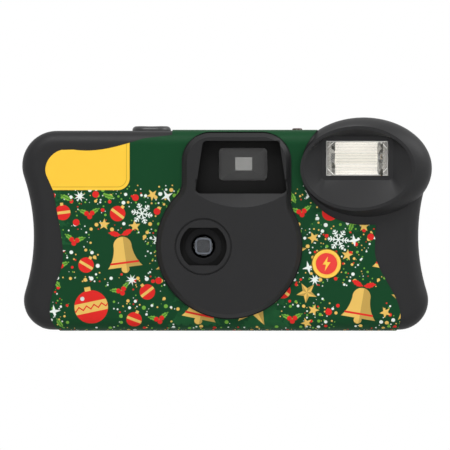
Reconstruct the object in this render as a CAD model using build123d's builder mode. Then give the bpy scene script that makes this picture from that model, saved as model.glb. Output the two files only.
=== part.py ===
"""Disposable film camera with a built-in flash, as an assembly of moulded and bought-in pieces.

Frame: +X to the right as the front is seen, +Y from the front to the back, +Z up.
The origin is under the middle of the camera, on the surface that it stands on.
All lengths are in millimetres.
"""

from build123d import *
from math import atan2, cos, degrees, pi, radians, sin, sqrt
import os

os.makedirs("parts", exist_ok=True)

# Clearances and helpers shared by all pieces
overrun = 2.0
running_gap = 0.3
fit_gap = 0.1
pin_gap = 0.06

# Printed sleeve
sleeve_thickness = 0.3
sleeve_edge_gap = 0.4
sleeve_top_left = -15.4
sleeve_corner_drop = 1.2
sleeve_back_step = 3.0
sleeve_flash_half_width = 18.3
sleeve_flash_half_height = 16.2
sleeve_left_shares = [(-0.776, -0.02), (-0.854, 0.083), (-0.847, 0.175), (-0.794, 0.345),
                      (-0.8, 0.48), (-0.836, 0.696)]
sleeve_corner_shares = [(-0.868, 0.77), (-0.876, 0.815), (-0.85, 0.872), (-0.8, 0.904)]
sleeve_crest_shares = [(-0.74, 0.906), (-0.61, 0.906), (-0.52, 0.925), (-0.4, 0.962)]
sleeve_right_shares = [(0.726, 0.532), (0.722, 0.394), (0.781, 0.249), (0.844, 0.109), (0.819, -0.02)]
sleeve_back_shares = [(-0.776, -0.02), (-0.8, 0.12), (-0.76, 0.5), (-0.68, 0.66), (-0.34, 0.7)]
sleeve_back_right_shares = [(0.56, 0.93), (0.8, 0.8), (0.76, 0.5), (0.84, 0.12), (0.819, -0.02)]

# Covers
body_base = sleeve_thickness
body_top = 57.6
body_depth = 32.6
back_face = 17.7
split_y = 4.0
cover_wall = 1.6
top_flare = 8.8
bottom_flare = 6.9
waist_step = 0.5
waist_room = 0.55
end_bulge = 3.1
waist_height = 29.5
top_corner_radius = 10.0
bottom_corner_radius = 8.5
front_rim = 4.0
back_rim = 2.0
hook_width = 6.0
hook_depth = 1.0
hook_reach = 3.0
hook_places = (-4.0, 14.0)
pressure_ribs = 5
pressure_rib_width = 1.2
grip_ribs = 3
grip_x = 52.6
grip_pitch = 1.8
grip_width = 0.9
grip_corner = 0.4
grip_length = 22.0
grip_rise = 0.5
body_height = body_top - body_base
front_face = back_face - body_depth
front_inner = front_face + cover_wall
back_inner = back_face - cover_wall
top_inner = body_top - cover_wall
floor_inner = body_base + cover_wall

# Lens and viewfinder bezel on the front cover
lens_x = -6.5
lens_z = 24.5
bezel_x = 0.9
bezel_z = 24.6
bezel_radius = 20.6
bezel_height = 3.0
bezel_edge = 1.4
bezel_taper = 40
neck_left = -12.3
neck_right = 18.3
neck_top = 56.9
neck_corner = 8.0
neck_blend = 6.0
bezel_front = front_face - bezel_height
finder_top_width = 21.8
finder_bottom_width = 26.3
finder_top = 54.7
finder_bottom = 39.7
finder_x = 4.3
finder_corner = 1.2
finder_floor = 0.9
finder_glass_width = 13.8
finder_glass_height = 9.3
scoop_radius = 60.0
scoop_reach = 23.1
scoop_bottom = 35.7
lens_ring_groove = 8.2
lens_groove_width = 0.5
lens_groove_depth = 0.6
lens_opening = 6.7
lens_opening_flat = 5.4
lens_opening_depth = 2.3

# Flash housing
dome_x = 39.7
dome_z = 46.8
dome_half_width = 19.4
dome_half_height = 14.5
dome_back_half_width = 15.0
dome_back_half_height = 9.0
dome_back = 1.5
dome_front_x = 40.0
dome_shoulder = 2.0
dome_back_shoulder = 8.0
dome_rear_share = 0.93
dome_front_share = 0.95
flash_rim_height = 4.0
flash_x = 37.5
flash_z = 46.8
flash_rim_half_width = 16.4
flash_rim_half_height = 12.1
flash_rim_wall = 0.9
flash_bowl_depth = 2.7
window_x = 37.5
window_z = 49.7
window_width = 17.7
window_height = 9.9
window_thickness = 1.6
window_ribs = 12
window_rib_depth = 0.35
window_facet = 1.3
surround = 1.3
flash_rim_front = front_face - flash_rim_height
window_front = flash_rim_front + flash_bowl_depth
window_back = window_front + window_thickness

# Flash reflector and tube
reflector_sheet = 0.4
reflector_gap = 0.3
reflector_width = 17.2
reflector_back_width = 12.4
reflector_height = 9.4
reflector_depth = 6.2
tube_radius = 1.5
tube_length = 21.0
tube_cap_length = 2.2
tube_cap_wall = 0.2
reflector_front = window_back + reflector_gap

# Shutter button
button_x = -21.6
button_y = -3.6
button_width = 11.2
button_depth = 9.0
button_corner = 4.2
button_rise = 1.4
button_dish = 0.3
button_dish_radius = 30.0
button_flange = 0.6
button_flange_thickness = 0.9
button_gap = 0.25
button_edge = 1.2
stem_x = -23.4
stem_y = -4.6
stem_radius = 1.3
stem_length = 6.0
button_top = body_top + button_rise
button_flange_top = top_inner - button_gap

# Flash button
charge_x = 28.8
charge_z = 19.5
charge_radius = 4.1
charge_flange = 0.8
charge_flange_thickness = 0.7
charge_nub_radius = 1.2
charge_gap = 0.25
charge_step = 0.2
charge_nub = 0.2
charge_ring = 0.9
charge_groove = 0.3
leaf_rise = 1.0
leaf_width = 3.0
leaf_length = 8.0

# Film cassette
cassette_radius = 12.5
cassette_cap_radius = 12.8
cassette_height = 43.2
cassette_sheet = 0.3
cassette_skirt = 2.2
cassette_offset = 33.4
lip_reach = 14.4
lip_thickness = 1.5
spool_core_radius = 5.2
spool_flange_radius = 10.6
spool_flange = 0.8
spool_nub_radius = 3.8
spool_nub_length = 4.2
spool_key = 1.6
exposed_radius = 6.6
film_offset = 11.6
cassette_x = lens_x - cassette_offset
cassette_y = back_inner - running_gap - cassette_cap_radius
cassette_base = lens_z - cassette_height / 2
cassette_top = lens_z + cassette_height / 2

# Film
film_width = 35.0
film_thickness = 0.14
frame_width = 36.0
frame_height = 24.0
perforation_pitch = 4.75
perforation_length = 2.0
perforation_width = 2.8
perforation_edge = 2.0
film_y = cassette_y + film_offset
film_base = lens_z - film_width / 2
film_top = lens_z + film_width / 2
roll_offset = 33.5
roll_radius = 9.2
roll_core = 4.2
roll_spool_bore = 2.0
roll_flange_radius = 9.6
roll_flange = 0.6
roll_x = lens_x + roll_offset
roll_y = film_y - film_thickness / 2 - roll_radius

# Thumbwheel
wheel_overhang = 1.2
wheel_thickness = 3.4
wheel_teeth = 60
wheel_tooth = 0.7
wheel_hub = 6.0
wheel_pockets = 6
wheel_pocket_radius = 2.6
wheel_pocket_ring = 10.2
wheel_pocket_floor = 1.2
wheel_slot_gap = 0.4
wheel_axle = 2.2
wheel_radius = back_face + wheel_overhang - cassette_y
deck_thickness = 1.0
cassette_deck = cassette_top + running_gap
wheel_base = cassette_deck + deck_thickness + running_gap

# Main frame
frame_floor = 3.6
frame_wall = 1.0
chamber_gap = 0.35
gate_plate = 1.1
rail_gap = 0.1
mech_left = -27.0
mech_right = -9.6
mech_front = -9.6
tunnel_front_half = 4.0
shutter_plate_setback = 2.0
shutter_plate_thickness = 1.0
shutter_plate_half_width = 12.5
shutter_plate_bottom = 10.0
shutter_plate_top = 40.0
post_radius = 1.3
frame_feet = [(-20.0, 13.9), (27.0, -3.0), (20.0, 11.0), (34.0, 10.0)]
boss_radius = 4.0
deck_z = film_top + roll_flange + running_gap
chamber_top = deck_z + deck_thickness
shutter_plate_y = front_inner + shutter_plate_setback
chamber_radius = cassette_cap_radius + chamber_gap
roll_chamber_radius = roll_flange_radius + chamber_gap
gate_front = film_y - film_thickness / 2 - rail_gap - gate_plate

# Viewfinder
finder_lens_x = 4.9
finder_lens_z = 48.0
finder_lens_width = 14.4
finder_lens_height = 9.8
finder_lens_thickness = 1.8
finder_lens_corner = 1.0
finder_lens_radius = 22.0
finder_lens_hollow = 1.25
eyepiece_x = 5.4
eyepiece_z = 48.1
eyepiece_width = 8.0
eyepiece_height = 6.2
eyepiece_thickness = 1.5
eyepiece_rim = 1.4
eyepiece_rim_depth = 0.6
finder_wall = 1.0
finder_front = front_inner + running_gap

# Taking lens and shutter
lens_radius = 4.4
lens_edge = 1.1
lens_crown = 0.8
lens_clear = 3.4
lens_hollow = 0.25
lens_hollow_radius = 14.0
lens_ring_radius = 5.2
lens_ring_thickness = 0.7
aperture_radius = 1.6
aperture_plate_width = 18.0
aperture_plate_thickness = 0.8
blade_thickness = 0.25
blade_disc = 3.2
blade_hub = 2.2
blade_pin = 0.8
blade_dx = -7.5
blade_dz = 8.5
blade_tab_width = 1.8
blade_tab_reach = 12.0
blade_arm_width = 2.6
aperture_setback = 0.9
blade_setback = 0.6
aperture_back = shutter_plate_y - aperture_setback
blade_front = shutter_plate_y - blade_setback

# Mechanism above the film
sprocket_x = -20.9
sprocket_radius = 5.6
sprocket_tooth = 1.1
sprocket_teeth = 8
sprocket_thickness = 1.6
sprocket_shaft = 1.3
cam_radius = 4.0
cam_notch = 1.2
cam_thickness = 1.4
counter_x = -12.9
counter_y = 1.2
counter_radius = 8.0
counter_teeth = 30
counter_tooth = 0.5
counter_thickness = 1.0
counter_z = 52.3
counter_axle = 1.2
finger_gap = 0.24
counter_window_radius = 2.2
counter_window_flange = 0.5
counter_window_edge = 0.4
counter_window_x = -11.5
counter_window_y = 7.6
lever_thickness = 1.5
striker_x = -15.5
striker_y = -3.8
striker_hub = 2.0
striker_tip_x = -16.8
striker_tip_y = -12.0
striker_tail_x = -18.5
striker_tail_y = 0.7
striker_arm = 0.9
meter_x = -13.8
meter_y = 9.3
meter_nose_x = -16.6
meter_nose_y = 5.3
meter_arm = 0.6
lever_pin = 0.9
keeper_thickness = 1.0
keeper_z = 50.4
keeper_left = -19.6
keeper_right = -9.8
keeper_front = -7.9
keeper_back = 13.9
keeper_posts = [(-10.9, 12.6), (-10.9, -5.6), (-18.9, -6.6)]
finger_hub = 0.2
finger_width = 0.9
pawl_gap = 0.3
pawl_length = 10.0
pawl_thickness = 0.8
pawl_height = 2.6
sprocket_tip = sprocket_radius + sprocket_tooth
sprocket_y = film_y - film_thickness / 2 - fit_gap - sprocket_tip
sprocket_z = film_top - perforation_edge - perforation_width / 2
counter_distance = sqrt((sprocket_x - counter_x) ** 2 + (sprocket_y - counter_y) ** 2)
finger_reach = counter_distance - counter_radius - finger_gap
lever_z = deck_z + deck_thickness + running_gap

# Springs
spring_wire = 0.3
spring_radius = 1.6
spring_turns = 3
spring_pitch = 0.75

# Battery and flash circuit
battery_radius = 7.25
battery_length = 49.5
battery_nub = 1.0
battery_nub_radius = 2.75
battery_rim = 0.8
battery_room = 2.65
battery_base = 3.4
contact_sheet = 0.4
contact_width = 6.0
board_left = 10.0
board_right = 40.0
board_base = 5.0
board_top = 41.5
board_tab_left = 17.5
board_tab_right = 24.0
board_tab_top = 51.0
board_y = -9.2
board_thickness = 1.2
capacitor_radius = 6.0
capacitor_length = 30.0
capacitor_base = 3.4
capacitor_crimp = 2.6
capacitor_crimp_depth = 0.4
lead_width = 0.6
lead_spacing = 2.5
lead_rise = 1.4
transformer_width = 7.0
transformer_depth = 4.8
transformer_height = 9.0
transformer_core = 1.4
transformer_z = 12.0
coil_radius = 2.4
coil_length = 8.0
coil_z = 30.0
coil_x = 14.0
coil_flange = 0.8
contact_drop = 9.0
board_pad_low = 9.0
board_pad_high = 32.0
board_pad_width = 8.0
board_pad_height = 3.0
ready_x = 20.6
ready_radius = 1.5
ready_rise = 0.5
ready_base = 46.0
battery_x = roll_x + roll_flange_radius + battery_room + battery_radius
battery_y = back_inner - running_gap - battery_radius
capacitor_x = battery_x
capacitor_y = front_inner + running_gap + capacitor_radius
board_back = board_y + board_thickness
ready_y = board_back + ready_radius + fit_gap

# Doors in the underside
door_thickness = 2.0
film_door_inward = 14.0
film_door_outward = 13.2
film_door_front = -10.2
film_door_back = 15.9
battery_door_inward = 8.3
battery_door_outward = 7.7
battery_door_front = 1.0
battery_door_back = 15.9
door_pin_radius = 0.4
door_pin_length = 0.6
door_gap = 0.3
catch_width = 1.9
catch_shift = 0.7
film_door_hinge = cassette_x + film_door_inward
film_door_edge = cassette_x - film_door_outward
battery_door_hinge = battery_x - battery_door_inward
battery_door_edge = battery_x + battery_door_outward
catch_x = cassette_x + catch_shift
door_knuckle = door_thickness / 2
door_axis_z = body_base + door_knuckle

# Width of the body, from the battery that stands at its right end
rear_waist = battery_x + battery_radius + waist_room + cover_wall
front_waist = rear_waist - waist_step
top_reach = rear_waist + top_flare
bottom_reach = rear_waist + bottom_flare
body_half_width = rear_waist + end_bulge


def facing(y):
    """Upright plane at a depth, seen from the front: its x is X and its y is Z."""
    return Plane.XZ.offset(-y)


def level(z):
    """Flat plane at a height: its x is X and its y is Y."""
    return Plane.XY.offset(z)


def body_outline(waist, inset):
    """Front view of the body: flat top and bottom, sides drawn in at the waist."""
    with BuildSketch() as outline:
        with BuildLine():
            Line((-top_reach, body_top), (top_reach, body_top))
            ThreePointArc((top_reach, body_top), (waist, waist_height), (bottom_reach, body_base))
            Line((bottom_reach, body_base), (-bottom_reach, body_base))
            ThreePointArc((-bottom_reach, body_base), (-waist, waist_height), (-top_reach, body_top))
        make_face()
        fillet(outline.vertices().group_by(Axis.Y)[-1], top_corner_radius)
        fillet(outline.vertices().group_by(Axis.Y)[0], bottom_corner_radius)
        if inset > 0:
            offset(amount=-inset)
    return outline.sketch


def body_block(waist, inset):
    """The body as one solid with rounded rims, drawn in by a wall's thickness."""
    depth = body_depth - 2 * inset
    with BuildPart() as block:
        with BuildSketch(facing(back_face - inset)):
            add(body_outline(waist, inset))
        extrude(amount=depth)
        fillet(block.edges().group_by(Axis.Y)[0], front_rim - inset)
        fillet(block.edges().group_by(Axis.Y)[-1], back_rim - inset)
    return block.part


def bezel_outline(gap):
    """Round lens surround that runs up into the viewfinder surround."""
    neck_bottom = bezel_z
    with BuildSketch() as outline:
        with Locations((bezel_x, bezel_z)):
            Circle(bezel_radius)
        with BuildLine():
            FilletPolyline(
                (neck_left, neck_bottom), (neck_left, neck_top),
                (neck_right, neck_top), (neck_right, neck_bottom),
                radius=neck_corner)
            Line((neck_right, neck_bottom), (neck_left, neck_bottom))
        make_face()
        junctions = outline.vertices().group_by(Axis.Y)
        fillet([group[0] for group in junctions if len(group) == 1], neck_blend)
        if gap > 0:
            offset(amount=gap)
    return outline.sketch


def finder_outline():
    """Trapezium of the viewfinder recess."""
    with BuildSketch() as outline:
        with BuildLine():
            Polyline(
                (finder_x - finder_top_width / 2, finder_top),
                (finder_x + finder_top_width / 2, finder_top),
                (finder_x + finder_bottom_width / 2, finder_bottom),
                (finder_x - finder_bottom_width / 2, finder_bottom),
                close=True)
        make_face()
        fillet(outline.vertices(), finder_corner)
    return outline.sketch


def finder_scoop():
    """Shallow crescent that leads down from the viewfinder recess."""
    plane_depth = sqrt(scoop_radius ** 2 - scoop_reach ** 2)
    with BuildPart() as scoop:
        with Locations((finder_x, bezel_front - plane_depth, scoop_bottom + scoop_reach)):
            Sphere(scoop_radius)
        with BuildSketch(facing(front_face)):
            with Locations((finder_x, finder_bottom)):
                Rectangle(finder_bottom_width, 2 * (finder_bottom - scoop_bottom))
        extrude(amount=bezel_height + overrun, mode=Mode.INTERSECT)
    return scoop.part


def reflector_form(inset, mouth):
    """Trough of the flash reflector as a full block: round behind, with slanting ends."""
    half = reflector_height / 2 - inset
    front = reflector_front - mouth
    back = reflector_front + reflector_depth - inset
    with BuildPart() as form:
        with BuildSketch(Plane.YZ.offset(window_x)):
            with BuildLine():
                Line((front, window_z + half), (front, window_z - half))
                ThreePointArc((front, window_z - half), (back, window_z), (front, window_z + half))
            make_face()
        extrude(amount=reflector_width, both=True)
        with BuildSketch(level(window_z - reflector_height)):
            with BuildLine():
                Polyline(
                    (window_x - reflector_width / 2 + inset, front),
                    (window_x + reflector_width / 2 - inset, front),
                    (window_x + reflector_back_width / 2 - inset, back),
                    (window_x - reflector_back_width / 2 + inset, back), close=True)
            make_face()
        extrude(amount=2 * reflector_height, mode=Mode.INTERSECT)
    return form.part


def flat_circle(radius, half_height):
    """Circle with its top and bottom cut flat."""
    with BuildSketch() as outline:
        Circle(radius)
        Rectangle(2 * radius, 2 * half_height, mode=Mode.INTERSECT)
    return outline.sketch


def toothed_disc(radius, tooth, count, thickness, z):
    """Disc with pointed teeth all round, its tips at the radius."""
    points = []
    for index in range(count):
        for share, reach in ((0, radius - tooth), (0.5, radius)):
            angle = 2 * pi * (index + share) / count
            points.append((reach * cos(angle), reach * sin(angle)))
    with BuildPart() as disc:
        with BuildSketch(level(z)):
            with BuildLine():
                Polyline(*points, close=True)
            make_face()
        extrude(amount=thickness)
    return disc.part


def door_footprint(hinge, edge, front, back, side_gap, end_gap):
    """Level outline of a door, from its knuckle to its free edge."""
    inner = hinge + door_knuckle if edge < hinge else hinge - door_knuckle
    with BuildSketch() as outline:
        with Locations(((inner + edge) / 2, (front + back) / 2)):
            Rectangle(abs(inner - edge) + 2 * side_gap, back - front + 2 * end_gap)
    return outline.sketch


def door_openings():
    """What the two doors and their hinge pins need cut out of the underside."""
    with BuildPart() as openings:
        with BuildSketch(level(body_base - overrun)):
            add(door_footprint(film_door_hinge, film_door_edge, film_door_front, film_door_back,
                               door_gap, fit_gap))
            add(door_footprint(battery_door_hinge, battery_door_edge, battery_door_front,
                               battery_door_back, door_gap, fit_gap))
        extrude(amount=door_thickness + 2 * overrun)
        add(hinge_pin(film_door_hinge, film_door_front, film_door_back, pin_gap))
        add(hinge_pin(battery_door_hinge, battery_door_front, battery_door_back, pin_gap))
    return openings.part


def hinge_pin(hinge, front, back, gap):
    """Pin along a door's knuckle that stands out at both ends."""
    with BuildPart() as pin:
        with BuildSketch(facing(back + door_pin_length + gap)):
            with Locations((hinge, door_axis_z)):
                Circle(door_pin_radius + gap)
        extrude(amount=back - front + 2 * (door_pin_length + gap))
    return pin.part


def sleeve_field():
    """Everything that the printed sleeve may cover, as a block to cut the wrap with."""
    left = [(x * body_half_width, z * body_top) for x, z in sleeve_left_shares]
    corner = [(x * body_half_width, z * body_top) for x, z in sleeve_corner_shares]
    crest = [(x * body_half_width, z * body_top) for x, z in sleeve_crest_shares]
    right = [(x * body_half_width, z * body_top) for x, z in sleeve_right_shares]
    back_left = [(x * body_half_width, z * body_top) for x, z in sleeve_back_shares]
    back_right = [(x * body_half_width, z * body_top) for x, z in sleeve_back_right_shares]
    high = body_top + overrun
    with BuildPart() as field:
        with BuildSketch(facing(split_y)):
            with BuildLine():
                Spline(*left)
                Line(left[-1], corner[0])
                Spline(*corner)
                Line(corner[-1], crest[0])
                Spline(*crest)
                Polyline(
                    crest[-1], (sleeve_top_left, body_top - sleeve_corner_drop),
                    (sleeve_top_left, high), (dome_x, high), (dome_x, right[0][1]), right[0], right[1])
                Spline(*right[1:])
                Line(right[-1], left[0])
            make_face()
            with Locations((dome_x, dome_z)):
                Ellipse(sleeve_flash_half_width, sleeve_flash_half_height, mode=Mode.SUBTRACT)
            add(bezel_outline(sleeve_edge_gap), mode=Mode.SUBTRACT)
            with Locations((charge_x, charge_z)):
                Circle(charge_radius + charge_gap, mode=Mode.SUBTRACT)
        extrude(amount=split_y - front_face + overrun)
        with BuildSketch(facing(back_face + overrun)):
            with BuildLine():
                Spline(*back_left)
                Polyline(
                    back_left[-1], (sleeve_top_left, back_left[-1][1] + sleeve_back_step),
                    (sleeve_top_left, high), (back_right[0][0] - sleeve_back_step, high),
                    back_right[0], back_right[1])
                Spline(*back_right[1:])
                Line(back_right[-1], back_left[0])
            make_face()
            with Locations((eyepiece_x, eyepiece_z)):
                RectangleRounded(
                    eyepiece_width + 2 * (eyepiece_rim + sleeve_edge_gap),
                    eyepiece_height + 2 * (eyepiece_rim + sleeve_edge_gap),
                    eyepiece_rim + sleeve_edge_gap, mode=Mode.SUBTRACT)
        extrude(amount=back_face + overrun - split_y)
        with BuildSketch(level(body_top - overrun)):
            with Locations((counter_window_x, counter_window_y)):
                Circle(counter_window_radius + sleeve_edge_gap)
            with Locations((ready_x, ready_y)):
                Circle(ready_radius + sleeve_edge_gap)
        extrude(amount=2 * overrun, mode=Mode.SUBTRACT)
        with BuildSketch(level(body_base - overrun)):
            add(door_footprint(film_door_hinge, film_door_edge - overrun, film_door_front,
                               film_door_back + overrun, 2 * door_gap, door_gap))
            add(door_footprint(battery_door_hinge, battery_door_edge + overrun, battery_door_front,
                               battery_door_back + overrun, 2 * door_gap, door_gap))
        extrude(amount=2 * overrun, mode=Mode.SUBTRACT)
    return field.part


def lever_arm(start, end, half_width):
    """Bar with round ends between two points of a level sketch."""
    dx = end[0] - start[0]
    dy = end[1] - start[1]
    middle = ((start[0] + end[0]) / 2, (start[1] + end[1]) / 2)
    with Locations(middle):
        SlotCenterToCenter(sqrt(dx * dx + dy * dy), 2 * half_width, rotation=degrees(atan2(dy, dx)))
    for point in (start, end):
        with Locations(point):
            Circle(half_width)


# Front cover: the front half of the body, with the bezel, the flash housing and the button hole
with BuildPart() as front_cover:
    add(body_block(front_waist, 0))
    for y, x, half_width, half_height in (
            (dome_back, dome_x, dome_back_half_width, dome_back_half_height),
            (front_face + dome_back_shoulder, dome_x, dome_half_width * dome_rear_share,
             dome_half_height * dome_rear_share),
            (front_face + dome_shoulder, dome_x, dome_half_width, dome_half_height),
            (front_face - sleeve_thickness, dome_front_x, dome_half_width * dome_front_share,
             dome_half_height * dome_front_share),
            (flash_rim_front, flash_x, flash_rim_half_width, flash_rim_half_height)):
        with BuildSketch(facing(y)):
            with Locations((x, dome_z)):
                Ellipse(half_width, half_height)
    loft()
    split(bisect_by=facing(split_y), keep=Keep.TOP)
    add(body_block(front_waist, cover_wall), mode=Mode.SUBTRACT)
    with BuildSketch(facing(front_inner)):
        with Locations((dome_x, dome_z)):
            Ellipse(dome_half_width - cover_wall, dome_half_height - cover_wall)
    with BuildSketch(facing(dome_back)):
        with Locations((dome_x, dome_z)):
            Ellipse(dome_back_half_width - cover_wall, dome_back_half_height - cover_wall)
    loft(mode=Mode.SUBTRACT)
    with BuildSketch(facing(front_face)):
        add(bezel_outline(0))
    extrude(amount=bezel_height - bezel_edge)
    with BuildSketch(facing(bezel_front + bezel_edge)):
        add(bezel_outline(0))
    extrude(amount=bezel_edge, taper=bezel_taper)
    # Viewfinder recess and the hollow below it
    with BuildSketch(facing(front_inner - finder_floor)):
        add(finder_outline())
    extrude(amount=front_inner - finder_floor - bezel_front + overrun, mode=Mode.SUBTRACT)
    with BuildSketch(facing(front_inner + overrun)):
        with Locations((finder_lens_x, finder_lens_z)):
            RectangleRounded(finder_glass_width, finder_glass_height, finder_corner)
    extrude(amount=finder_floor + 2 * overrun, mode=Mode.SUBTRACT)
    add(finder_scoop(), mode=Mode.SUBTRACT)
    # Lens opening with its ring groove
    with BuildSketch(facing(bezel_front - overrun)):
        with Locations((lens_x, lens_z)):
            add(flat_circle(lens_opening, lens_opening_flat))
    extrude(amount=-(overrun + lens_opening_depth), mode=Mode.SUBTRACT)
    with BuildSketch(facing(bezel_front - overrun)):
        with Locations((lens_x, lens_z)):
            Circle(lens_ring_groove)
            Circle(lens_ring_groove - lens_groove_width, mode=Mode.SUBTRACT)
    extrude(amount=-(overrun + lens_groove_depth), mode=Mode.SUBTRACT)
    with BuildSketch(facing(front_inner + overrun)):
        with Locations((lens_x, lens_z)):
            Circle(lens_radius + fit_gap)
    extrude(amount=front_inner + overrun - front_face, mode=Mode.SUBTRACT)
    with BuildSketch(facing(front_face)):
        with Locations((lens_x, lens_z)):
            Circle(lens_ring_radius + fit_gap)
    extrude(amount=bezel_height, mode=Mode.SUBTRACT)
    # Flash bowl, then the opening that the clear window closes
    with BuildSketch(facing(flash_rim_front)):
        with Locations((flash_x, flash_z)):
            Ellipse(flash_rim_half_width - flash_rim_wall, flash_rim_half_height - flash_rim_wall)
    with BuildSketch(facing(window_front)):
        with Locations((window_x, window_z)):
            RectangleRounded(window_width + 2 * surround, window_height + 2 * surround, surround)
    loft(mode=Mode.SUBTRACT)
    with BuildSketch(facing(window_front - overrun)):
        with Locations((window_x, window_z)):
            Rectangle(window_width + 2 * fit_gap, window_height + 2 * fit_gap)
    extrude(amount=-(overrun + front_inner - window_front + overrun), mode=Mode.SUBTRACT)
    # Holes for the shutter button, the flash button and the ready lamp
    with BuildSketch(level(top_inner - overrun)):
        with Locations((button_x, button_y)):
            RectangleRounded(
                button_width + 2 * button_gap, button_depth + 2 * button_gap, button_corner + button_gap)
        with Locations((ready_x, ready_y)):
            Circle(ready_radius + fit_gap)
    extrude(amount=cover_wall + 2 * overrun, mode=Mode.SUBTRACT)
    with BuildSketch(facing(front_inner + overrun)):
        with Locations((charge_x, charge_z)):
            Circle(charge_radius + charge_gap)
    extrude(amount=cover_wall + 2 * overrun, mode=Mode.SUBTRACT)
    # Openings for the doors, and the seats of their hinge pins
    add(door_openings(), mode=Mode.SUBTRACT)
front_cover.part.label = "front_cover"
export_step(front_cover.part, "parts/front_cover.step")

# Rear cover: back wall with the eyepiece opening, the wheel slot, the grip ribs and the hooks
with BuildPart() as rear_cover:
    add(body_block(rear_waist, 0))
    add(body_block(rear_waist, cover_wall), mode=Mode.SUBTRACT)
    split(bisect_by=facing(split_y), keep=Keep.BOTTOM)
    with BuildSketch(facing(back_inner)):
        with Locations((lens_x, lens_z)):
            for index in range(pressure_ribs):
                with Locations((0, (index - (pressure_ribs - 1) / 2) * film_width / pressure_ribs)):
                    Rectangle(frame_width, pressure_rib_width)
    extrude(amount=back_inner - film_y - film_thickness / 2 - rail_gap)
    with BuildSketch(facing(back_face + grip_rise)):
        for index in range(grip_ribs):
            with Locations((-grip_x + index * grip_pitch, waist_height)):
                RectangleRounded(grip_width, grip_length, grip_corner)
    extrude(amount=grip_rise + cover_wall / 2)
    with BuildSketch(facing(back_face + eyepiece_rim_depth)):
        with Locations((eyepiece_x, eyepiece_z)):
            RectangleRounded(
                eyepiece_width + 2 * eyepiece_rim, eyepiece_height + 2 * eyepiece_rim, eyepiece_rim)
    extrude(amount=eyepiece_rim_depth + cover_wall / 2)
    with BuildSketch(facing(back_face + overrun)):
        with Locations((eyepiece_x, eyepiece_z)):
            Rectangle(eyepiece_width + 2 * fit_gap, eyepiece_height + 2 * fit_gap)
    extrude(amount=cover_wall + 2 * overrun, mode=Mode.SUBTRACT)
    # Slot that the thumbwheel stands out of
    slot_half = sqrt(wheel_radius ** 2 - (back_inner - cassette_y) ** 2) + 2 * running_gap
    with BuildSketch(facing(back_face + overrun)):
        with Locations((cassette_x, wheel_base + wheel_thickness / 2)):
            RectangleRounded(2 * slot_half, wheel_thickness + 2 * wheel_slot_gap, wheel_slot_gap)
    extrude(amount=cover_wall + 2 * overrun, mode=Mode.SUBTRACT)
    # Seat of the counter window
    with BuildSketch(level(top_inner - overrun)):
        with Locations((counter_window_x, counter_window_y)):
            Circle(counter_window_radius + fit_gap)
    extrude(amount=cover_wall + 2 * overrun, mode=Mode.SUBTRACT)
    add(door_openings(), mode=Mode.SUBTRACT)
    # Hooks that hold the front cover
    for height in (floor_inner, top_inner - hook_depth):
        with BuildSketch(level(height)):
            for x in hook_places:
                with Locations((x, split_y)):
                    Rectangle(hook_width, 2 * hook_reach)
        extrude(amount=hook_depth)
rear_cover.part.label = "rear_cover"
export_step(rear_cover.part, "parts/rear_cover.step")

# Printed sleeve: a thin wrap round both covers, cut round what has to stay free
with BuildPart() as printed_sleeve:
    with BuildSketch(Plane.YZ.offset(-body_half_width)) as wrap:
        with Locations(((front_face + back_face) / 2, (body_base + body_top) / 2)):
            Rectangle(body_depth + 2 * sleeve_thickness, body_height + 2 * sleeve_thickness)
        fillet(wrap.vertices().group_by(Axis.X)[0], front_rim + sleeve_thickness)
        fillet(wrap.vertices().group_by(Axis.X)[-1], back_rim + sleeve_thickness)
        offset(amount=-sleeve_thickness, mode=Mode.SUBTRACT)
    extrude(amount=2 * body_half_width)
    add(sleeve_field(), mode=Mode.INTERSECT)
printed_sleeve.part.label = "printed_sleeve"
export_step(printed_sleeve.part, "parts/printed_sleeve.step")

# Flash window: clear plate with fine level ribs on its front and a slanting facet at each end
with BuildPart() as flash_window:
    rib_pitch = window_height / window_ribs
    with BuildSketch(Plane.YZ.offset(window_x)):
        with BuildLine():
            outline = [(window_back, window_z - window_height / 2)]
            for index in range(window_ribs):
                bottom = window_z - window_height / 2 + index * rib_pitch
                outline.append((window_front + window_rib_depth, bottom))
                outline.append((window_front, bottom + rib_pitch / 2))
            outline.append((window_front + window_rib_depth, window_z + window_height / 2))
            outline.append((window_back, window_z + window_height / 2))
            Polyline(*outline, close=True)
        make_face()
    extrude(amount=window_width / 2, both=True)
    with BuildSketch(level(window_z - window_height)):
        with BuildLine():
            Polyline(
                (window_x - window_width / 2, window_back),
                (window_x - window_width / 2, window_front + window_facet),
                (window_x - window_width / 2 + window_facet, window_front),
                (window_x + window_width / 2 - window_facet, window_front),
                (window_x + window_width / 2, window_front + window_facet),
                (window_x + window_width / 2, window_back), close=True)
        make_face()
    extrude(amount=2 * window_height, mode=Mode.INTERSECT)
flash_window.part.label = "flash_window"
export_step(flash_window.part, "parts/flash_window.step")

# Flash reflector: bright sheet trough, closed by a cheek at each end
with BuildPart() as flash_reflector:
    add(reflector_form(0, 0))
    add(reflector_form(reflector_sheet, reflector_gap), mode=Mode.SUBTRACT)
    with BuildSketch(Plane.YZ.offset(window_x)):
        with Locations((reflector_front + reflector_depth / 2, window_z)):
            Circle(tube_radius + fit_gap)
    extrude(amount=reflector_width, both=True, mode=Mode.SUBTRACT)
flash_reflector.part.label = "flash_reflector"
export_step(flash_reflector.part, "parts/flash_reflector.step")

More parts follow.
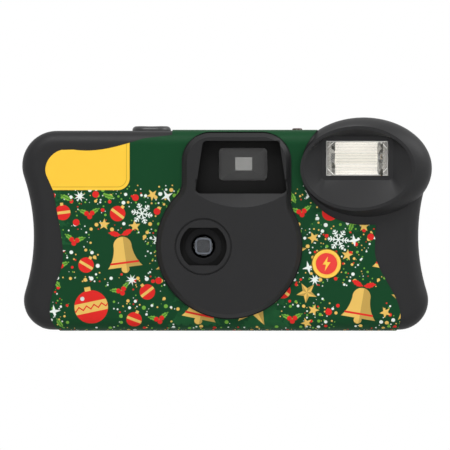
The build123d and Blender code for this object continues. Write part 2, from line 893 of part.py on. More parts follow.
# Flash tube: glass rod with a metal cap at each end
with BuildPart() as flash_tube:
    with BuildSketch(Plane.YZ.offset(window_x)):
        with Locations((reflector_front + reflector_depth / 2, window_z)):
            Circle(tube_radius)
    extrude(amount=tube_length / 2, both=True)
    for side in (-1, 1):
        with BuildSketch(Plane.YZ.offset(window_x + side * (tube_length - tube_cap_length) / 2)):
            with Locations((reflector_front + reflector_depth / 2, window_z)):
                Circle(tube_radius + tube_cap_wall)
        extrude(amount=tube_cap_length / 2, both=True)
flash_tube.part.label = "flash_tube"
export_step(flash_tube.part, "parts/flash_tube.step")

# Shutter button: dished cap, a flange under the cover and a stem down to the release
with BuildPart() as shutter_button:
    with BuildSketch(level(button_flange_top)):
        with Locations((button_x, button_y)):
            RectangleRounded(button_width, button_depth, button_corner)
    extrude(amount=button_top - button_flange_top)
    fillet(shutter_button.edges().group_by(Axis.Z)[-1], button_edge)
    with Locations((button_x, button_y, button_top + button_dish_radius - button_dish)):
        Sphere(button_dish_radius, mode=Mode.SUBTRACT)
    with BuildSketch(level(button_flange_top)):
        with Locations((button_x, button_y)):
            RectangleRounded(
                button_width + 2 * button_flange, button_depth + 2 * button_flange,
                button_corner + button_flange)
    extrude(amount=-button_flange_thickness)
    with BuildSketch(level(button_flange_top - button_flange_thickness)):
        with Locations((stem_x, stem_y)):
            Circle(stem_radius)
    extrude(amount=-stem_length)
shutter_button.part.label = "shutter_button"
export_step(shutter_button.part, "parts/shutter_button.step")

# Flash button: stepped disc in the sleeve, with a flange and a nub behind the cover
with BuildPart() as flash_button:
    with BuildSketch(facing(front_inner + charge_gap)):
        with Locations((charge_x, charge_z)):
            Circle(charge_radius)
    extrude(amount=front_inner + charge_gap - front_face + sleeve_thickness)
    with BuildSketch(facing(front_inner + charge_gap + charge_flange_thickness)):
        with Locations((charge_x, charge_z)):
            Circle(charge_radius + charge_flange)
    extrude(amount=charge_flange_thickness)
    with BuildSketch(facing(front_inner + charge_gap + charge_flange_thickness + charge_nub)):
        with Locations((charge_x, charge_z)):
            Circle(charge_nub_radius)
    extrude(amount=charge_nub)
    with BuildSketch(facing(front_face - sleeve_thickness)):
        with Locations((charge_x, charge_z)):
            Circle(charge_radius - charge_ring)
            Circle(charge_radius - charge_ring - charge_groove, mode=Mode.SUBTRACT)
    extrude(amount=-charge_step, mode=Mode.SUBTRACT)
flash_button.part.label = "flash_button"
export_step(flash_button.part, "parts/flash_button.step")

# Flash contact: springy leaf on the board behind the button
with BuildPart() as flash_contact:
    leaf_front = board_y - leaf_rise - contact_sheet
    with BuildSketch(facing(leaf_front + contact_sheet)):
        with Locations((charge_x, charge_z)):
            Rectangle(leaf_width, leaf_length)
    extrude(amount=contact_sheet)
    with BuildSketch(facing(board_y)):
        with Locations((charge_x, charge_z - leaf_length / 2 + contact_sheet / 2)):
            Rectangle(leaf_width, contact_sheet)
    extrude(amount=leaf_rise + contact_sheet)
flash_contact.part.label = "flash_contact"
export_step(flash_contact.part, "parts/flash_contact.step")

# Ready lamp: small bulb with a domed light guide up to the top of the cover
with BuildPart() as ready_lamp:
    with BuildSketch(level(ready_base)):
        with Locations((ready_x, ready_y)):
            Circle(ready_radius)
    extrude(amount=body_top + sleeve_thickness + ready_rise - ready_base)
    fillet(ready_lamp.edges().group_by(Axis.Z)[-1], ready_rise)
ready_lamp.part.label = "ready_lamp"
export_step(ready_lamp.part, "parts/ready_lamp.step")

# Taking lens: meniscus with a flat edge
with BuildPart() as taking_lens:
    lens_back = aperture_back - aperture_plate_thickness
    lens_front = lens_back - lens_edge
    with BuildSketch(facing(lens_back)):
        with Locations((lens_x, lens_z)):
            Circle(lens_radius)
    extrude(amount=lens_edge)
    with BuildSketch(facing(lens_front)):
        with Locations((lens_x, lens_z)):
            Circle(lens_clear)
    extrude(amount=lens_crown)
    curve = (lens_clear ** 2 + lens_crown ** 2) / (2 * lens_crown)
    with Locations((lens_x, lens_front - lens_crown + curve, lens_z)):
        Sphere(curve, mode=Mode.INTERSECT)
    with Locations((lens_x, lens_back + lens_hollow_radius - lens_hollow, lens_z)):
        Sphere(lens_hollow_radius, mode=Mode.SUBTRACT)
taking_lens.part.label = "taking_lens"
export_step(taking_lens.part, "parts/taking_lens.step")

# Lens ring: stepped baffle in front of the lens
with BuildPart() as lens_ring:
    with BuildSketch(facing(lens_front)):
        with Locations((lens_x, lens_z)):
            Circle(lens_radius)
            Circle(lens_clear, mode=Mode.SUBTRACT)
    extrude(amount=lens_front - front_face)
    with BuildSketch(facing(front_face)):
        with Locations((lens_x, lens_z)):
            Circle(lens_ring_radius)
            Circle(lens_clear, mode=Mode.SUBTRACT)
    extrude(amount=lens_ring_thickness)
    chamfer(lens_ring.edges().filter_by(GeomType.CIRCLE).group_by(Axis.Y)[0].sort_by(SortBy.RADIUS)[0],
            lens_ring_thickness / 2)
lens_ring.part.label = "lens_ring"
export_step(lens_ring.part, "parts/lens_ring.step")

# Aperture plate: carries the lens from behind and stops it down
with BuildPart() as aperture_plate:
    with BuildSketch(facing(aperture_back)):
        with Locations((lens_x, lens_z)):
            RectangleRounded(aperture_plate_width, aperture_plate_width, post_radius)
            Circle(aperture_radius, mode=Mode.SUBTRACT)
    extrude(amount=aperture_plate_thickness)
    with BuildSketch(facing(aperture_back)):
        corner = aperture_plate_width / 2 - post_radius
        for side_x, side_z in ((1, 1), (1, -1), (-1, -1)):
            with Locations((lens_x + side_x * corner, lens_z + side_z * corner)):
                Circle(post_radius)
    extrude(amount=aperture_back - shutter_plate_y)
aperture_plate.part.label = "aperture_plate"
export_step(aperture_plate.part, "parts/aperture_plate.step")

# Viewfinder front lens and eyepiece
with BuildPart() as finder_front_lens:
    with BuildSketch(facing(finder_front + finder_lens_thickness)):
        with Locations((finder_lens_x, finder_lens_z)):
            RectangleRounded(finder_lens_width, finder_lens_height, finder_lens_corner)
    extrude(amount=finder_lens_thickness)
    with Locations((finder_lens_x, finder_front - finder_lens_radius + finder_lens_hollow, finder_lens_z)):
        Sphere(finder_lens_radius, mode=Mode.SUBTRACT)
finder_front_lens.part.label = "finder_front_lens"
export_step(finder_front_lens.part, "parts/finder_front_lens.step")

with BuildPart() as finder_eyepiece:
    with BuildSketch(facing(back_face)):
        with Locations((eyepiece_x, eyepiece_z)):
            Rectangle(eyepiece_width, eyepiece_height)
    extrude(amount=eyepiece_thickness)
finder_eyepiece.part.label = "finder_eyepiece"
export_step(finder_eyepiece.part, "parts/finder_eyepiece.step")

# Counter window: stepped magnifier in the top
with BuildPart() as counter_window:
    with BuildSketch(level(top_inner)):
        with Locations((counter_window_x, counter_window_y)):
            Circle(counter_window_radius)
    extrude(amount=cover_wall)
    fillet(counter_window.edges().group_by(Axis.Z)[-1], counter_window_edge)
    with BuildSketch(level(top_inner)):
        with Locations((counter_window_x, counter_window_y)):
            Circle(counter_window_radius + counter_window_flange)
    extrude(amount=-counter_window_flange)
counter_window.part.label = "counter_window"
export_step(counter_window.part, "parts/counter_window.step")

# Film cassette: rolled sheet shell with its lip, which points to the film gate
with BuildPart() as cassette_shell:
    lip_y = cassette_y + film_offset
    with BuildSketch(level(cassette_base + cassette_sheet)):
        with Locations((cassette_x, cassette_y)):
            Circle(cassette_radius)
        with Locations((cassette_x + lip_reach / 2, lip_y)):
            Rectangle(lip_reach, lip_thickness)
        with Locations((cassette_x, cassette_y)):
            Circle(cassette_radius - cassette_sheet, mode=Mode.SUBTRACT)
        with Locations((cassette_x + lip_reach, lip_y)):
            Rectangle(2 * lip_reach, lip_thickness - 2 * cassette_sheet, mode=Mode.SUBTRACT)
    extrude(amount=cassette_height - 2 * cassette_sheet)
cassette_shell.part.label = "cassette_shell"
export_step(cassette_shell.part, "parts/cassette_shell.step")

# Cassette end caps: pressed cups over both ends of the shell, notched for the lip
with BuildPart() as cassette_caps:
    for base, skirt in ((cassette_base, cassette_skirt), (cassette_top, -cassette_skirt)):
        inward = cassette_sheet if skirt > 0 else -cassette_sheet
        with BuildSketch(level(base)):
            with Locations((cassette_x, cassette_y)):
                Circle(cassette_cap_radius)
                Circle(spool_nub_radius + fit_gap, mode=Mode.SUBTRACT)
        extrude(amount=inward)
        with BuildSketch(level(base)):
            with Locations((cassette_x, cassette_y)):
                Circle(cassette_cap_radius)
                Circle(cassette_radius, mode=Mode.SUBTRACT)
            with Locations((cassette_x + cassette_cap_radius, film_y)):
                Rectangle(2 * cassette_cap_radius, lip_thickness, mode=Mode.SUBTRACT)
        extrude(amount=skirt)
cassette_caps.part.label = "cassette_caps"
export_step(cassette_caps.part, "parts/cassette_caps.step")

# Light trap: two strips of felt in the lip, one each side of the film
with BuildPart() as light_trap_felt:
    felt_length = lip_reach / 3
    felt_depth = (lip_thickness - film_thickness) / 2 - cassette_sheet
    for side in (-1, 1):
        with BuildSketch(level(cassette_base + cassette_skirt)):
            with Locations((
                    cassette_x + lip_reach - felt_length / 2,
                    film_y + side * (film_thickness + felt_depth) / 2)):
                Rectangle(felt_length, felt_depth)
        extrude(amount=cassette_height - 2 * cassette_skirt)
light_trap_felt.part.label = "light_trap_felt"
export_step(light_trap_felt.part, "parts/light_trap_felt.step")

# Cassette spool: core with two flanges and the nub that the thumbwheel turns
with BuildPart() as cassette_spool:
    spool_base = cassette_base + cassette_sheet + running_gap
    spool_top = cassette_top - cassette_sheet - running_gap
    with BuildSketch(level(cassette_base)):
        with Locations((cassette_x, cassette_y)):
            Circle(spool_nub_radius)
    extrude(amount=cassette_height + spool_nub_length)
    with BuildSketch(level(spool_base)):
        with Locations((cassette_x, cassette_y)):
            Circle(spool_core_radius)
    extrude(amount=spool_top - spool_base)
    for base in (spool_base, spool_top - spool_flange):
        with BuildSketch(level(base)):
            with Locations((cassette_x, cassette_y)):
                Circle(spool_flange_radius)
        extrude(amount=spool_flange)
    with BuildSketch(level(cassette_base)):
        with Locations((cassette_x, cassette_y)):
            Rectangle(2 * spool_nub_radius, spool_key)
    extrude(amount=spool_nub_length, mode=Mode.SUBTRACT)
cassette_spool.part.label = "cassette_spool"
export_step(cassette_spool.part, "parts/cassette_spool.step")

# Exposed film on the cassette spool
with BuildPart() as exposed_film:
    with BuildSketch(level(film_base)):
        with Locations((cassette_x, cassette_y)):
            Circle(exposed_radius)
            Circle(spool_core_radius, mode=Mode.SUBTRACT)
    extrude(amount=film_width)
exposed_film.part.label = "exposed_film"
export_step(exposed_film.part, "parts/exposed_film.step")

# Film strip: the stretch across the gate, with its two rows of perforations
with BuildPart() as film_strip:
    strip_left = cassette_x + lip_reach - felt_length
    with BuildSketch(facing(film_y + film_thickness / 2)):
        with Locations(((strip_left + roll_x) / 2, lens_z)):
            Rectangle(roll_x - strip_left, film_width)
        holes = int((roll_x - strip_left) / perforation_pitch) - 1
        with Locations(((strip_left + roll_x) / 2, lens_z)):
            with GridLocations(
                    perforation_pitch, film_width - 2 * perforation_edge - perforation_width, holes, 2):
                Rectangle(perforation_length, perforation_width, mode=Mode.SUBTRACT)
    extrude(amount=film_thickness)
film_strip.part.label = "film_strip"
export_step(film_strip.part, "parts/film_strip.step")

# Film roll: the unexposed film, wound on its spool
with BuildPart() as film_roll:
    with BuildSketch(level(film_base)):
        with Locations((roll_x, roll_y)):
            Circle(roll_radius - fit_gap)
            Circle(roll_core, mode=Mode.SUBTRACT)
    extrude(amount=film_width)
film_roll.part.label = "film_roll"
export_step(film_roll.part, "parts/film_roll.step")

with BuildPart() as film_spool:
    with BuildSketch(level(film_base - roll_flange)):
        with Locations((roll_x, roll_y)):
            Circle(roll_core)
    extrude(amount=film_width + 2 * roll_flange)
    for base in (film_base - roll_flange, film_top):
        with BuildSketch(level(base)):
            with Locations((roll_x, roll_y)):
                Circle(roll_flange_radius)
        extrude(amount=roll_flange)
    with BuildSketch(level(film_base - roll_flange)):
        with Locations((roll_x, roll_y)):
            Circle(roll_spool_bore + pin_gap)
    extrude(amount=film_width + 2 * roll_flange, mode=Mode.SUBTRACT)
film_spool.part.label = "film_spool"
export_step(film_spool.part, "parts/film_spool.step")

# Thumbwheel: knurled rim, finger pockets and a hub over the spool's nub
with BuildPart() as thumbwheel:
    add(toothed_disc(wheel_radius, wheel_tooth, wheel_teeth, wheel_thickness, wheel_base)
        .moved(Location((cassette_x, cassette_y, 0))))
    with BuildSketch(level(wheel_base + wheel_thickness)):
        with Locations((cassette_x, cassette_y)):
            with PolarLocations(wheel_pocket_ring, wheel_pockets):
                Circle(wheel_pocket_radius)
    extrude(amount=-(wheel_thickness - wheel_pocket_floor), mode=Mode.SUBTRACT)
    with BuildSketch(level(cassette_top + fit_gap)):
        with Locations((cassette_x, cassette_y)):
            Circle(wheel_hub)
    extrude(amount=wheel_base - cassette_top - fit_gap)
    with BuildSketch(level(cassette_top)):
        with Locations((cassette_x, cassette_y)):
            Circle(spool_nub_radius)
    extrude(amount=spool_nub_length, mode=Mode.SUBTRACT)
    with BuildSketch(level(wheel_base + wheel_thickness)):
        with Locations((cassette_x, cassette_y)):
            Circle(wheel_axle)
    extrude(amount=top_inner - running_gap - wheel_base - wheel_thickness)
thumbwheel.part.label = "thumbwheel"
export_step(thumbwheel.part, "parts/thumbwheel.step")

# Main frame: two film chambers, the light tunnel with its gate, the decks and the viewfinder tunnel
with BuildPart() as main_frame:
    # Walls of the two chambers, open to the back where the film runs
    with BuildSketch(level(frame_floor)):
        with Locations((cassette_x, cassette_y)):
            Circle(chamber_radius + frame_wall)
        with Locations((roll_x, roll_y)):
            Circle(roll_chamber_radius + frame_wall)
        with Locations((cassette_x, cassette_y)):
            Circle(chamber_radius, mode=Mode.SUBTRACT)
        with Locations((roll_x, roll_y)):
            Circle(roll_chamber_radius, mode=Mode.SUBTRACT)
        with Locations(((cassette_x + roll_x) / 2, gate_front + gate_plate + body_depth / 2)):
            Rectangle(2 * body_half_width, body_depth, mode=Mode.SUBTRACT)
    extrude(amount=chamber_top - frame_floor)
    # Floor and deck of the film chamber
    for base in (frame_floor, deck_z):
        with BuildSketch(level(base)):
            with Locations((roll_x, roll_y)):
                Circle(roll_chamber_radius + frame_wall)
            with Locations((roll_x, gate_front + gate_plate + body_depth / 2)):
                Rectangle(2 * body_half_width, body_depth, mode=Mode.SUBTRACT)
        extrude(amount=deck_thickness)
    # Cassette chamber above the film chamber's height, with its deck under the thumbwheel
    with BuildSketch(level(chamber_top)):
        with Locations((cassette_x, cassette_y)):
            Circle(chamber_radius + frame_wall)
            Circle(chamber_radius, mode=Mode.SUBTRACT)
        with Locations((cassette_x, gate_front + gate_plate + body_depth / 2)):
            Rectangle(2 * body_half_width, body_depth, mode=Mode.SUBTRACT)
    extrude(amount=cassette_deck - chamber_top)
    with BuildSketch(level(cassette_deck)):
        with Locations((cassette_x, cassette_y)):
            Circle(chamber_radius + frame_wall)
            Circle(wheel_hub + running_gap, mode=Mode.SUBTRACT)
        with Locations((cassette_x, gate_front + gate_plate + body_depth / 2)):
            Rectangle(2 * body_half_width, body_depth, mode=Mode.SUBTRACT)
    extrude(amount=deck_thickness)
    # Gate plate behind the tunnel
    gate_left = cassette_x + lip_reach + running_gap
    gate_right = roll_x - frame_wall
    with BuildSketch(facing(gate_front + gate_plate)):
        with Locations(((gate_left + gate_right) / 2, (frame_floor + chamber_top) / 2)):
            Rectangle(gate_right - gate_left, chamber_top - frame_floor)
    extrude(amount=gate_plate)
    with BuildSketch(level(frame_floor + deck_thickness)):
        with Locations((roll_x, roll_y)):
            Circle(roll_chamber_radius)
    extrude(amount=deck_z - frame_floor - deck_thickness, mode=Mode.SUBTRACT)
    # Pin that the film spool turns on, with its shoulder
    with BuildSketch(level(frame_floor)):
        with Locations((roll_x, roll_y)):
            Circle(roll_spool_bore)
    extrude(amount=chamber_top - frame_floor)
    with BuildSketch(level(frame_floor)):
        with Locations((roll_x, roll_y)):
            Circle(boss_radius)
    extrude(amount=film_base - roll_flange - running_gap - frame_floor)
    # Light tunnel, wide at the gate and narrow at the lens
    plate_back = shutter_plate_y + shutter_plate_thickness
    for grow, mode in ((frame_wall, Mode.ADD), (0, Mode.SUBTRACT)):
        far = gate_front + gate_plate + (0 if mode == Mode.ADD else fit_gap)
        with BuildSketch(facing(plate_back - (0 if mode == Mode.ADD else shutter_plate_thickness))):
            with Locations((lens_x, lens_z)):
                Rectangle(2 * (tunnel_front_half + grow), 2 * (tunnel_front_half + grow))
        with BuildSketch(facing(far)):
            with Locations((lens_x, lens_z)):
                Rectangle(frame_width + grow, frame_height + grow)
        loft(mode=mode)
    # Shutter plate on the front of the tunnel
    with BuildSketch(facing(plate_back)):
        with Locations((lens_x, (shutter_plate_bottom + shutter_plate_top) / 2)):
            RectangleRounded(
                2 * shutter_plate_half_width, shutter_plate_top - shutter_plate_bottom, post_radius)
        with Locations((lens_x, lens_z)):
            Circle(tunnel_front_half, mode=Mode.SUBTRACT)
    extrude(amount=shutter_plate_thickness)
    with BuildSketch(facing(shutter_plate_y)):
        with Locations((lens_x + blade_dx, lens_z + blade_dz)):
            Circle(blade_pin)
    extrude(amount=shutter_plate_y - aperture_back - fit_gap)
    # Deck of the shutter mechanism with the pins of its levers
    with BuildSketch(level(deck_z)):
        with Locations(((mech_left + mech_right) / 2, (mech_front + gate_front + gate_plate) / 2)):
            Rectangle(mech_right - mech_left, gate_front + gate_plate - mech_front)
        with Locations((cassette_x, cassette_y)):
            Circle(chamber_radius, mode=Mode.SUBTRACT)
        with Locations((sprocket_x, sprocket_y)):
            Circle(sprocket_shaft + pin_gap, mode=Mode.SUBTRACT)
    extrude(amount=deck_thickness)
    with BuildSketch(level(chamber_top)):
        for x, y in ((striker_x, striker_y), (meter_x, meter_y)):
            with Locations((x, y)):
                Circle(lever_pin)
    extrude(amount=keeper_z - chamber_top)
    with BuildSketch(level(chamber_top)):
        with Locations(*keeper_posts):
            Circle(post_radius)
    extrude(amount=keeper_z - chamber_top)
    # Web from the deck to the shutter plate
    with BuildSketch(level(sprocket_z + sprocket_thickness + running_gap)):
        with Locations((lens_x - shutter_plate_half_width / 2, (mech_front + plate_back) / 2)):
            Rectangle(shutter_plate_half_width / 2, mech_front - shutter_plate_y)
    extrude(amount=deck_z - sprocket_z - sprocket_thickness)
    # Viewfinder tunnel
    for inset, mode in ((0, Mode.ADD), (finder_wall, Mode.SUBTRACT)):
        reach = 0 if mode == Mode.ADD else fit_gap
        with BuildSketch(facing(finder_front - reach)):
            with Locations((finder_lens_x, finder_lens_z)):
                Rectangle(
                    finder_lens_width + 2 * (finder_wall + fit_gap - inset),
                    finder_lens_height + 2 * (finder_wall + fit_gap - inset))
        with BuildSketch(facing(back_inner + reach)):
            with Locations((eyepiece_x, eyepiece_z)):
                Rectangle(
                    eyepiece_width + 2 * (finder_wall - inset), eyepiece_height + 2 * (finder_wall - inset))
        loft(mode=mode)
    with BuildSketch(facing(finder_front + finder_lens_thickness)):
        with Locations((finder_lens_x, finder_lens_z)):
            Rectangle(finder_lens_width + 2 * fit_gap, finder_lens_height + 2 * fit_gap)
    extrude(amount=finder_lens_thickness + overrun, mode=Mode.SUBTRACT)
    # Leg from the gate plate up to the viewfinder tunnel
    with BuildSketch(facing(gate_front + gate_plate)):
        with Locations((eyepiece_x, (chamber_top + eyepiece_z - eyepiece_height / 2) / 2)):
            Rectangle(eyepiece_width, eyepiece_z - eyepiece_height / 2 - chamber_top)
    extrude(amount=gate_plate)
    # Wall beside the battery, and pads behind the circuit board
    wall_right = battery_x - battery_radius - contact_sheet - fit_gap
    with BuildSketch(level(frame_floor)):
        with Locations((wall_right - frame_wall / 2, battery_y)):
            Rectangle(frame_wall, battery_radius)
        with Locations(((roll_x + roll_chamber_radius + wall_right) / 2, roll_y)):
            Rectangle(wall_right - roll_x - roll_chamber_radius, battery_radius / 2)
    extrude(amount=chamber_top - frame_floor)
    for height in (board_pad_low, board_pad_high):
        with BuildSketch(level(height)):
            with Locations((roll_x, (board_back + roll_y - roll_chamber_radius) / 2)):
                Rectangle(board_pad_width, roll_y - roll_chamber_radius - board_back)
        extrude(amount=board_pad_height)
    # Leg from the shutter plate up to the viewfinder tunnel
    leg_width = shutter_plate_half_width / 3
    leg_rise = finder_lens_z - finder_lens_height / 2 - finder_wall - shutter_plate_top
    with BuildSketch(facing(plate_back)):
        with Locations((finder_lens_x - leg_width, shutter_plate_top)):
            Rectangle(leg_width, 2 * leg_rise)
    extrude(amount=shutter_plate_thickness)
    # Ways for the cassette's lip and for the sprocket
    with BuildSketch(level(frame_floor)):
        with Locations((cassette_x + (lip_reach + running_gap) / 2, film_y)):
            Rectangle(lip_reach + running_gap, lip_thickness + 2 * running_gap)
    extrude(amount=cassette_top - frame_floor, mode=Mode.SUBTRACT)
    with BuildSketch(level(sprocket_z - sprocket_thickness / 2 - running_gap)):
        with Locations((sprocket_x, sprocket_y)):
            Circle(sprocket_tip + running_gap)
    extrude(amount=sprocket_thickness + 2 * running_gap, mode=Mode.SUBTRACT)
    # Feet on the floor of the covers and posts to the front wall
    with BuildSketch(level(floor_inner)):
        for x, y in frame_feet:
            with Locations((x, y)):
                Circle(post_radius)
    extrude(amount=frame_floor - floor_inner)
    with BuildSketch(facing(shutter_plate_y)):
        with Locations((lens_x, (shutter_plate_bottom + shutter_plate_top) / 2)):
            with GridLocations(
                    2 * (shutter_plate_half_width - post_radius),
                    shutter_plate_top - shutter_plate_bottom - 2 * post_radius, 2, 2):
                Circle(post_radius)
    extrude(amount=shutter_plate_y - front_inner)
    add(body_block(front_waist, cover_wall), mode=Mode.INTERSECT)
main_frame.part.label = "main_frame"
export_step(main_frame.part, "parts/main_frame.step")

# Sprocket: eight teeth at the film's perforations, the cam and the counter's finger on one shaft
with BuildPart() as sprocket:
    add(toothed_disc(sprocket_tip, sprocket_tooth, sprocket_teeth, sprocket_thickness,
                     sprocket_z - sprocket_thickness / 2).moved(Location((sprocket_x, sprocket_y, 0))))
    with BuildSketch(level(sprocket_z - sprocket_thickness)):
        with Locations((sprocket_x, sprocket_y)):
            Circle(sprocket_shaft)
    extrude(amount=counter_z + counter_thickness - sprocket_z + sprocket_thickness)
    with BuildSketch(level(lever_z)):
        with Locations((sprocket_x, sprocket_y)):
            Circle(cam_radius)
        with Locations((sprocket_x + cam_radius, sprocket_y)):
            Circle(cam_notch, mode=Mode.SUBTRACT)
    extrude(amount=cam_thickness)
    with BuildSketch(level(counter_z)):
        with Locations((sprocket_x, sprocket_y)):
            Circle(sprocket_shaft + finger_hub)
            with Locations((finger_reach / 2, 0)):
                Rectangle(finger_reach, finger_width)
    extrude(amount=counter_thickness)
sprocket.part.label = "sprocket"
export_step(sprocket.part, "parts/sprocket.step")

# Counter dial: toothed disc on an axle through the keeper
with BuildPart() as counter_dial:
    add(toothed_disc(counter_radius, counter_tooth, counter_teeth, counter_thickness, counter_z)
        .moved(Location((counter_x, counter_y, 0))))
    with BuildSketch(level(counter_z)):
        with Locations((counter_x, counter_y)):
            Circle(counter_axle)
    extrude(amount=-(counter_z - chamber_top - running_gap))
    with BuildSketch(level(keeper_z + keeper_thickness + fit_gap)):
        with Locations((counter_x, counter_y)):
            Circle(2 * counter_axle)
    extrude(amount=counter_z - keeper_z - keeper_thickness - fit_gap)
counter_dial.part.label = "counter_dial"
export_step(counter_dial.part, "parts/counter_dial.step")

# Keeper: plate over the levers that carries the upper ends of the axles
with BuildPart() as mechanism_keeper:
    with BuildSketch(level(keeper_z)):
        with Locations(((keeper_left + keeper_right) / 2, (keeper_front + keeper_back) / 2)):
            RectangleRounded(keeper_right - keeper_left, keeper_back - keeper_front, post_radius)
        with Locations((sprocket_x, sprocket_y)):
            Circle(2 * sprocket_shaft)
        with Locations((sprocket_x, sprocket_y)):
            Circle(sprocket_shaft + pin_gap, mode=Mode.SUBTRACT)
        with Locations((counter_x, counter_y)):
            Circle(counter_axle + pin_gap, mode=Mode.SUBTRACT)
    extrude(amount=keeper_thickness)
mechanism_keeper.part.label = "mechanism_keeper"
export_step(mechanism_keeper.part, "parts/mechanism_keeper.step")

# Striker: sprung lever that knocks the shutter blade open
with BuildPart() as striker_lever:
    with BuildSketch(level(lever_z)):
        lever_arm((striker_x, striker_y), (striker_tip_x, striker_tip_y), striker_arm)
        lever_arm((striker_x, striker_y), (striker_tail_x, striker_tail_y), striker_arm)
        with Locations((striker_x, striker_y)):
            Circle(striker_hub)
            Circle(lever_pin + pin_gap, mode=Mode.SUBTRACT)
    extrude(amount=lever_thickness)
striker_lever.part.label = "striker_lever"
export_step(striker_lever.part, "parts/striker_lever.step")

# Metering lever: rides on the cam and locks the film after one frame
with BuildPart() as metering_lever:
    with BuildSketch(level(lever_z)):
        lever_arm((meter_x, meter_y), (meter_nose_x, meter_nose_y), meter_arm)
        with Locations((meter_x, meter_y)):
            Circle(striker_hub)
            Circle(lever_pin + pin_gap, mode=Mode.SUBTRACT)
    extrude(amount=lever_thickness)
metering_lever.part.label = "metering_lever"
export_step(metering_lever.part, "parts/metering_lever.step")

# Shutter blade: thin sheet with a disc over the aperture and a tab for the striker
with BuildPart() as shutter_blade:
    pivot = (lens_x + blade_dx, lens_z + blade_dz)
    with BuildSketch(facing(blade_front + blade_thickness)):
        with Locations((lens_x, lens_z)):
            Circle(blade_disc)
        lever_arm((lens_x, lens_z), pivot, blade_arm_width / 2)
        lever_arm(pivot, (pivot[0], pivot[1] + blade_tab_reach), blade_tab_width / 2)
        with Locations(pivot):
            Circle(blade_hub)
            Circle(blade_pin + pin_gap, mode=Mode.SUBTRACT)
    extrude(amount=blade_thickness)
shutter_blade.part.label = "shutter_blade"
export_step(shutter_blade.part, "parts/shutter_blade.step")

# Striker spring: wound round the striker's pin above its hub
with BuildPart() as striker_spring:
    coil_base = lever_z + lever_thickness + fit_gap + spring_wire / 2
    with BuildLine(Plane((striker_x, striker_y, coil_base))):
        Helix(spring_pitch, spring_pitch * spring_turns, spring_radius)
    with BuildSketch(Plane(
            origin=(striker_x + spring_radius, striker_y, coil_base),
            z_dir=striker_spring.pending_edges[0] % 0)):
        Circle(spring_wire / 2)
    sweep()
striker_spring.part.label = "striker_spring"
export_step(striker_spring.part, "parts/striker_spring.step")

# Ratchet pawl: bent leaf that stops the thumbwheel from turning back
with BuildPart() as ratchet_pawl:
    pawl_x = cassette_x + wheel_radius + pawl_gap
    with BuildSketch(level(cassette_deck + deck_thickness + running_gap)):
        with Locations((pawl_x + pawl_thickness / 2, cassette_y + pawl_length / 2)):
            Rectangle(pawl_thickness, pawl_length)
        with Locations((pawl_x + pawl_thickness / 2, cassette_y)):
            Circle(pawl_thickness / 2)
    extrude(amount=pawl_height)
    with BuildSketch(level(chamber_top)):
        with Locations((pawl_x + pawl_thickness / 2, cassette_y + pawl_length)):
            Circle(post_radius)
    extrude(amount=cassette_deck + deck_thickness + running_gap + pawl_height - chamber_top)
ratchet_pawl.part.label = "ratchet_pawl"
export_step(ratchet_pawl.part, "parts/ratchet_pawl.step")

# Battery: one upright cell with a rolled rim and its positive nub on top
with BuildPart() as battery:
    with BuildSketch(level(battery_base)):
        with Locations((battery_x, battery_y)):
            Circle(battery_radius)
    extrude(amount=battery_length)
    fillet(battery.edges().filter_by(GeomType.CIRCLE), battery_rim)
    with BuildSketch(level(battery_base + battery_length)):
        with Locations((battery_x, battery_y)):
            Circle(battery_nub_radius)
    extrude(amount=battery_nub)
battery.part.label = "battery"
export_step(battery.part, "parts/battery.step")

# Battery contacts: a bent strip over the nub and another under the rim
with BuildPart() as battery_contacts:
    strip_left = battery_x - battery_radius - contact_sheet - fit_gap
    top = battery_base + battery_length + battery_nub + fit_gap
    bottom = battery_base - contact_sheet - fit_gap
    for base, height, foot, reach in (
            (top - contact_drop, contact_drop + contact_sheet, top, battery_radius + battery_nub_radius),
            (bottom, contact_drop, bottom, battery_radius / 2)):
        with BuildSketch(level(base)):
            with Locations((strip_left + contact_sheet / 2, battery_y)):
                Rectangle(contact_sheet, contact_width)
        extrude(amount=height)
        with BuildSketch(level(foot)):
            with Locations((strip_left + (contact_sheet + reach) / 2, battery_y)):
                Rectangle(contact_sheet + reach, contact_width)
        extrude(amount=contact_sheet)
battery_contacts.part.label = "battery_contacts"
export_step(battery_contacts.part, "parts/battery_contacts.step")

# Circuit board with its tab beside the viewfinder
with BuildPart() as circuit_board:
    with BuildSketch(facing(board_back)):
        with Locations(((board_left + board_right) / 2, (board_base + board_top) / 2)):
            Rectangle(board_right - board_left, board_top - board_base)
        with Locations(((board_tab_left + board_tab_right) / 2, (board_base + board_tab_top) / 2)):
            Rectangle(board_tab_right - board_tab_left, board_tab_top - board_base)
    extrude(amount=board_thickness)
circuit_board.part.label = "circuit_board"
export_step(circuit_board.part, "parts/circuit_board.step")

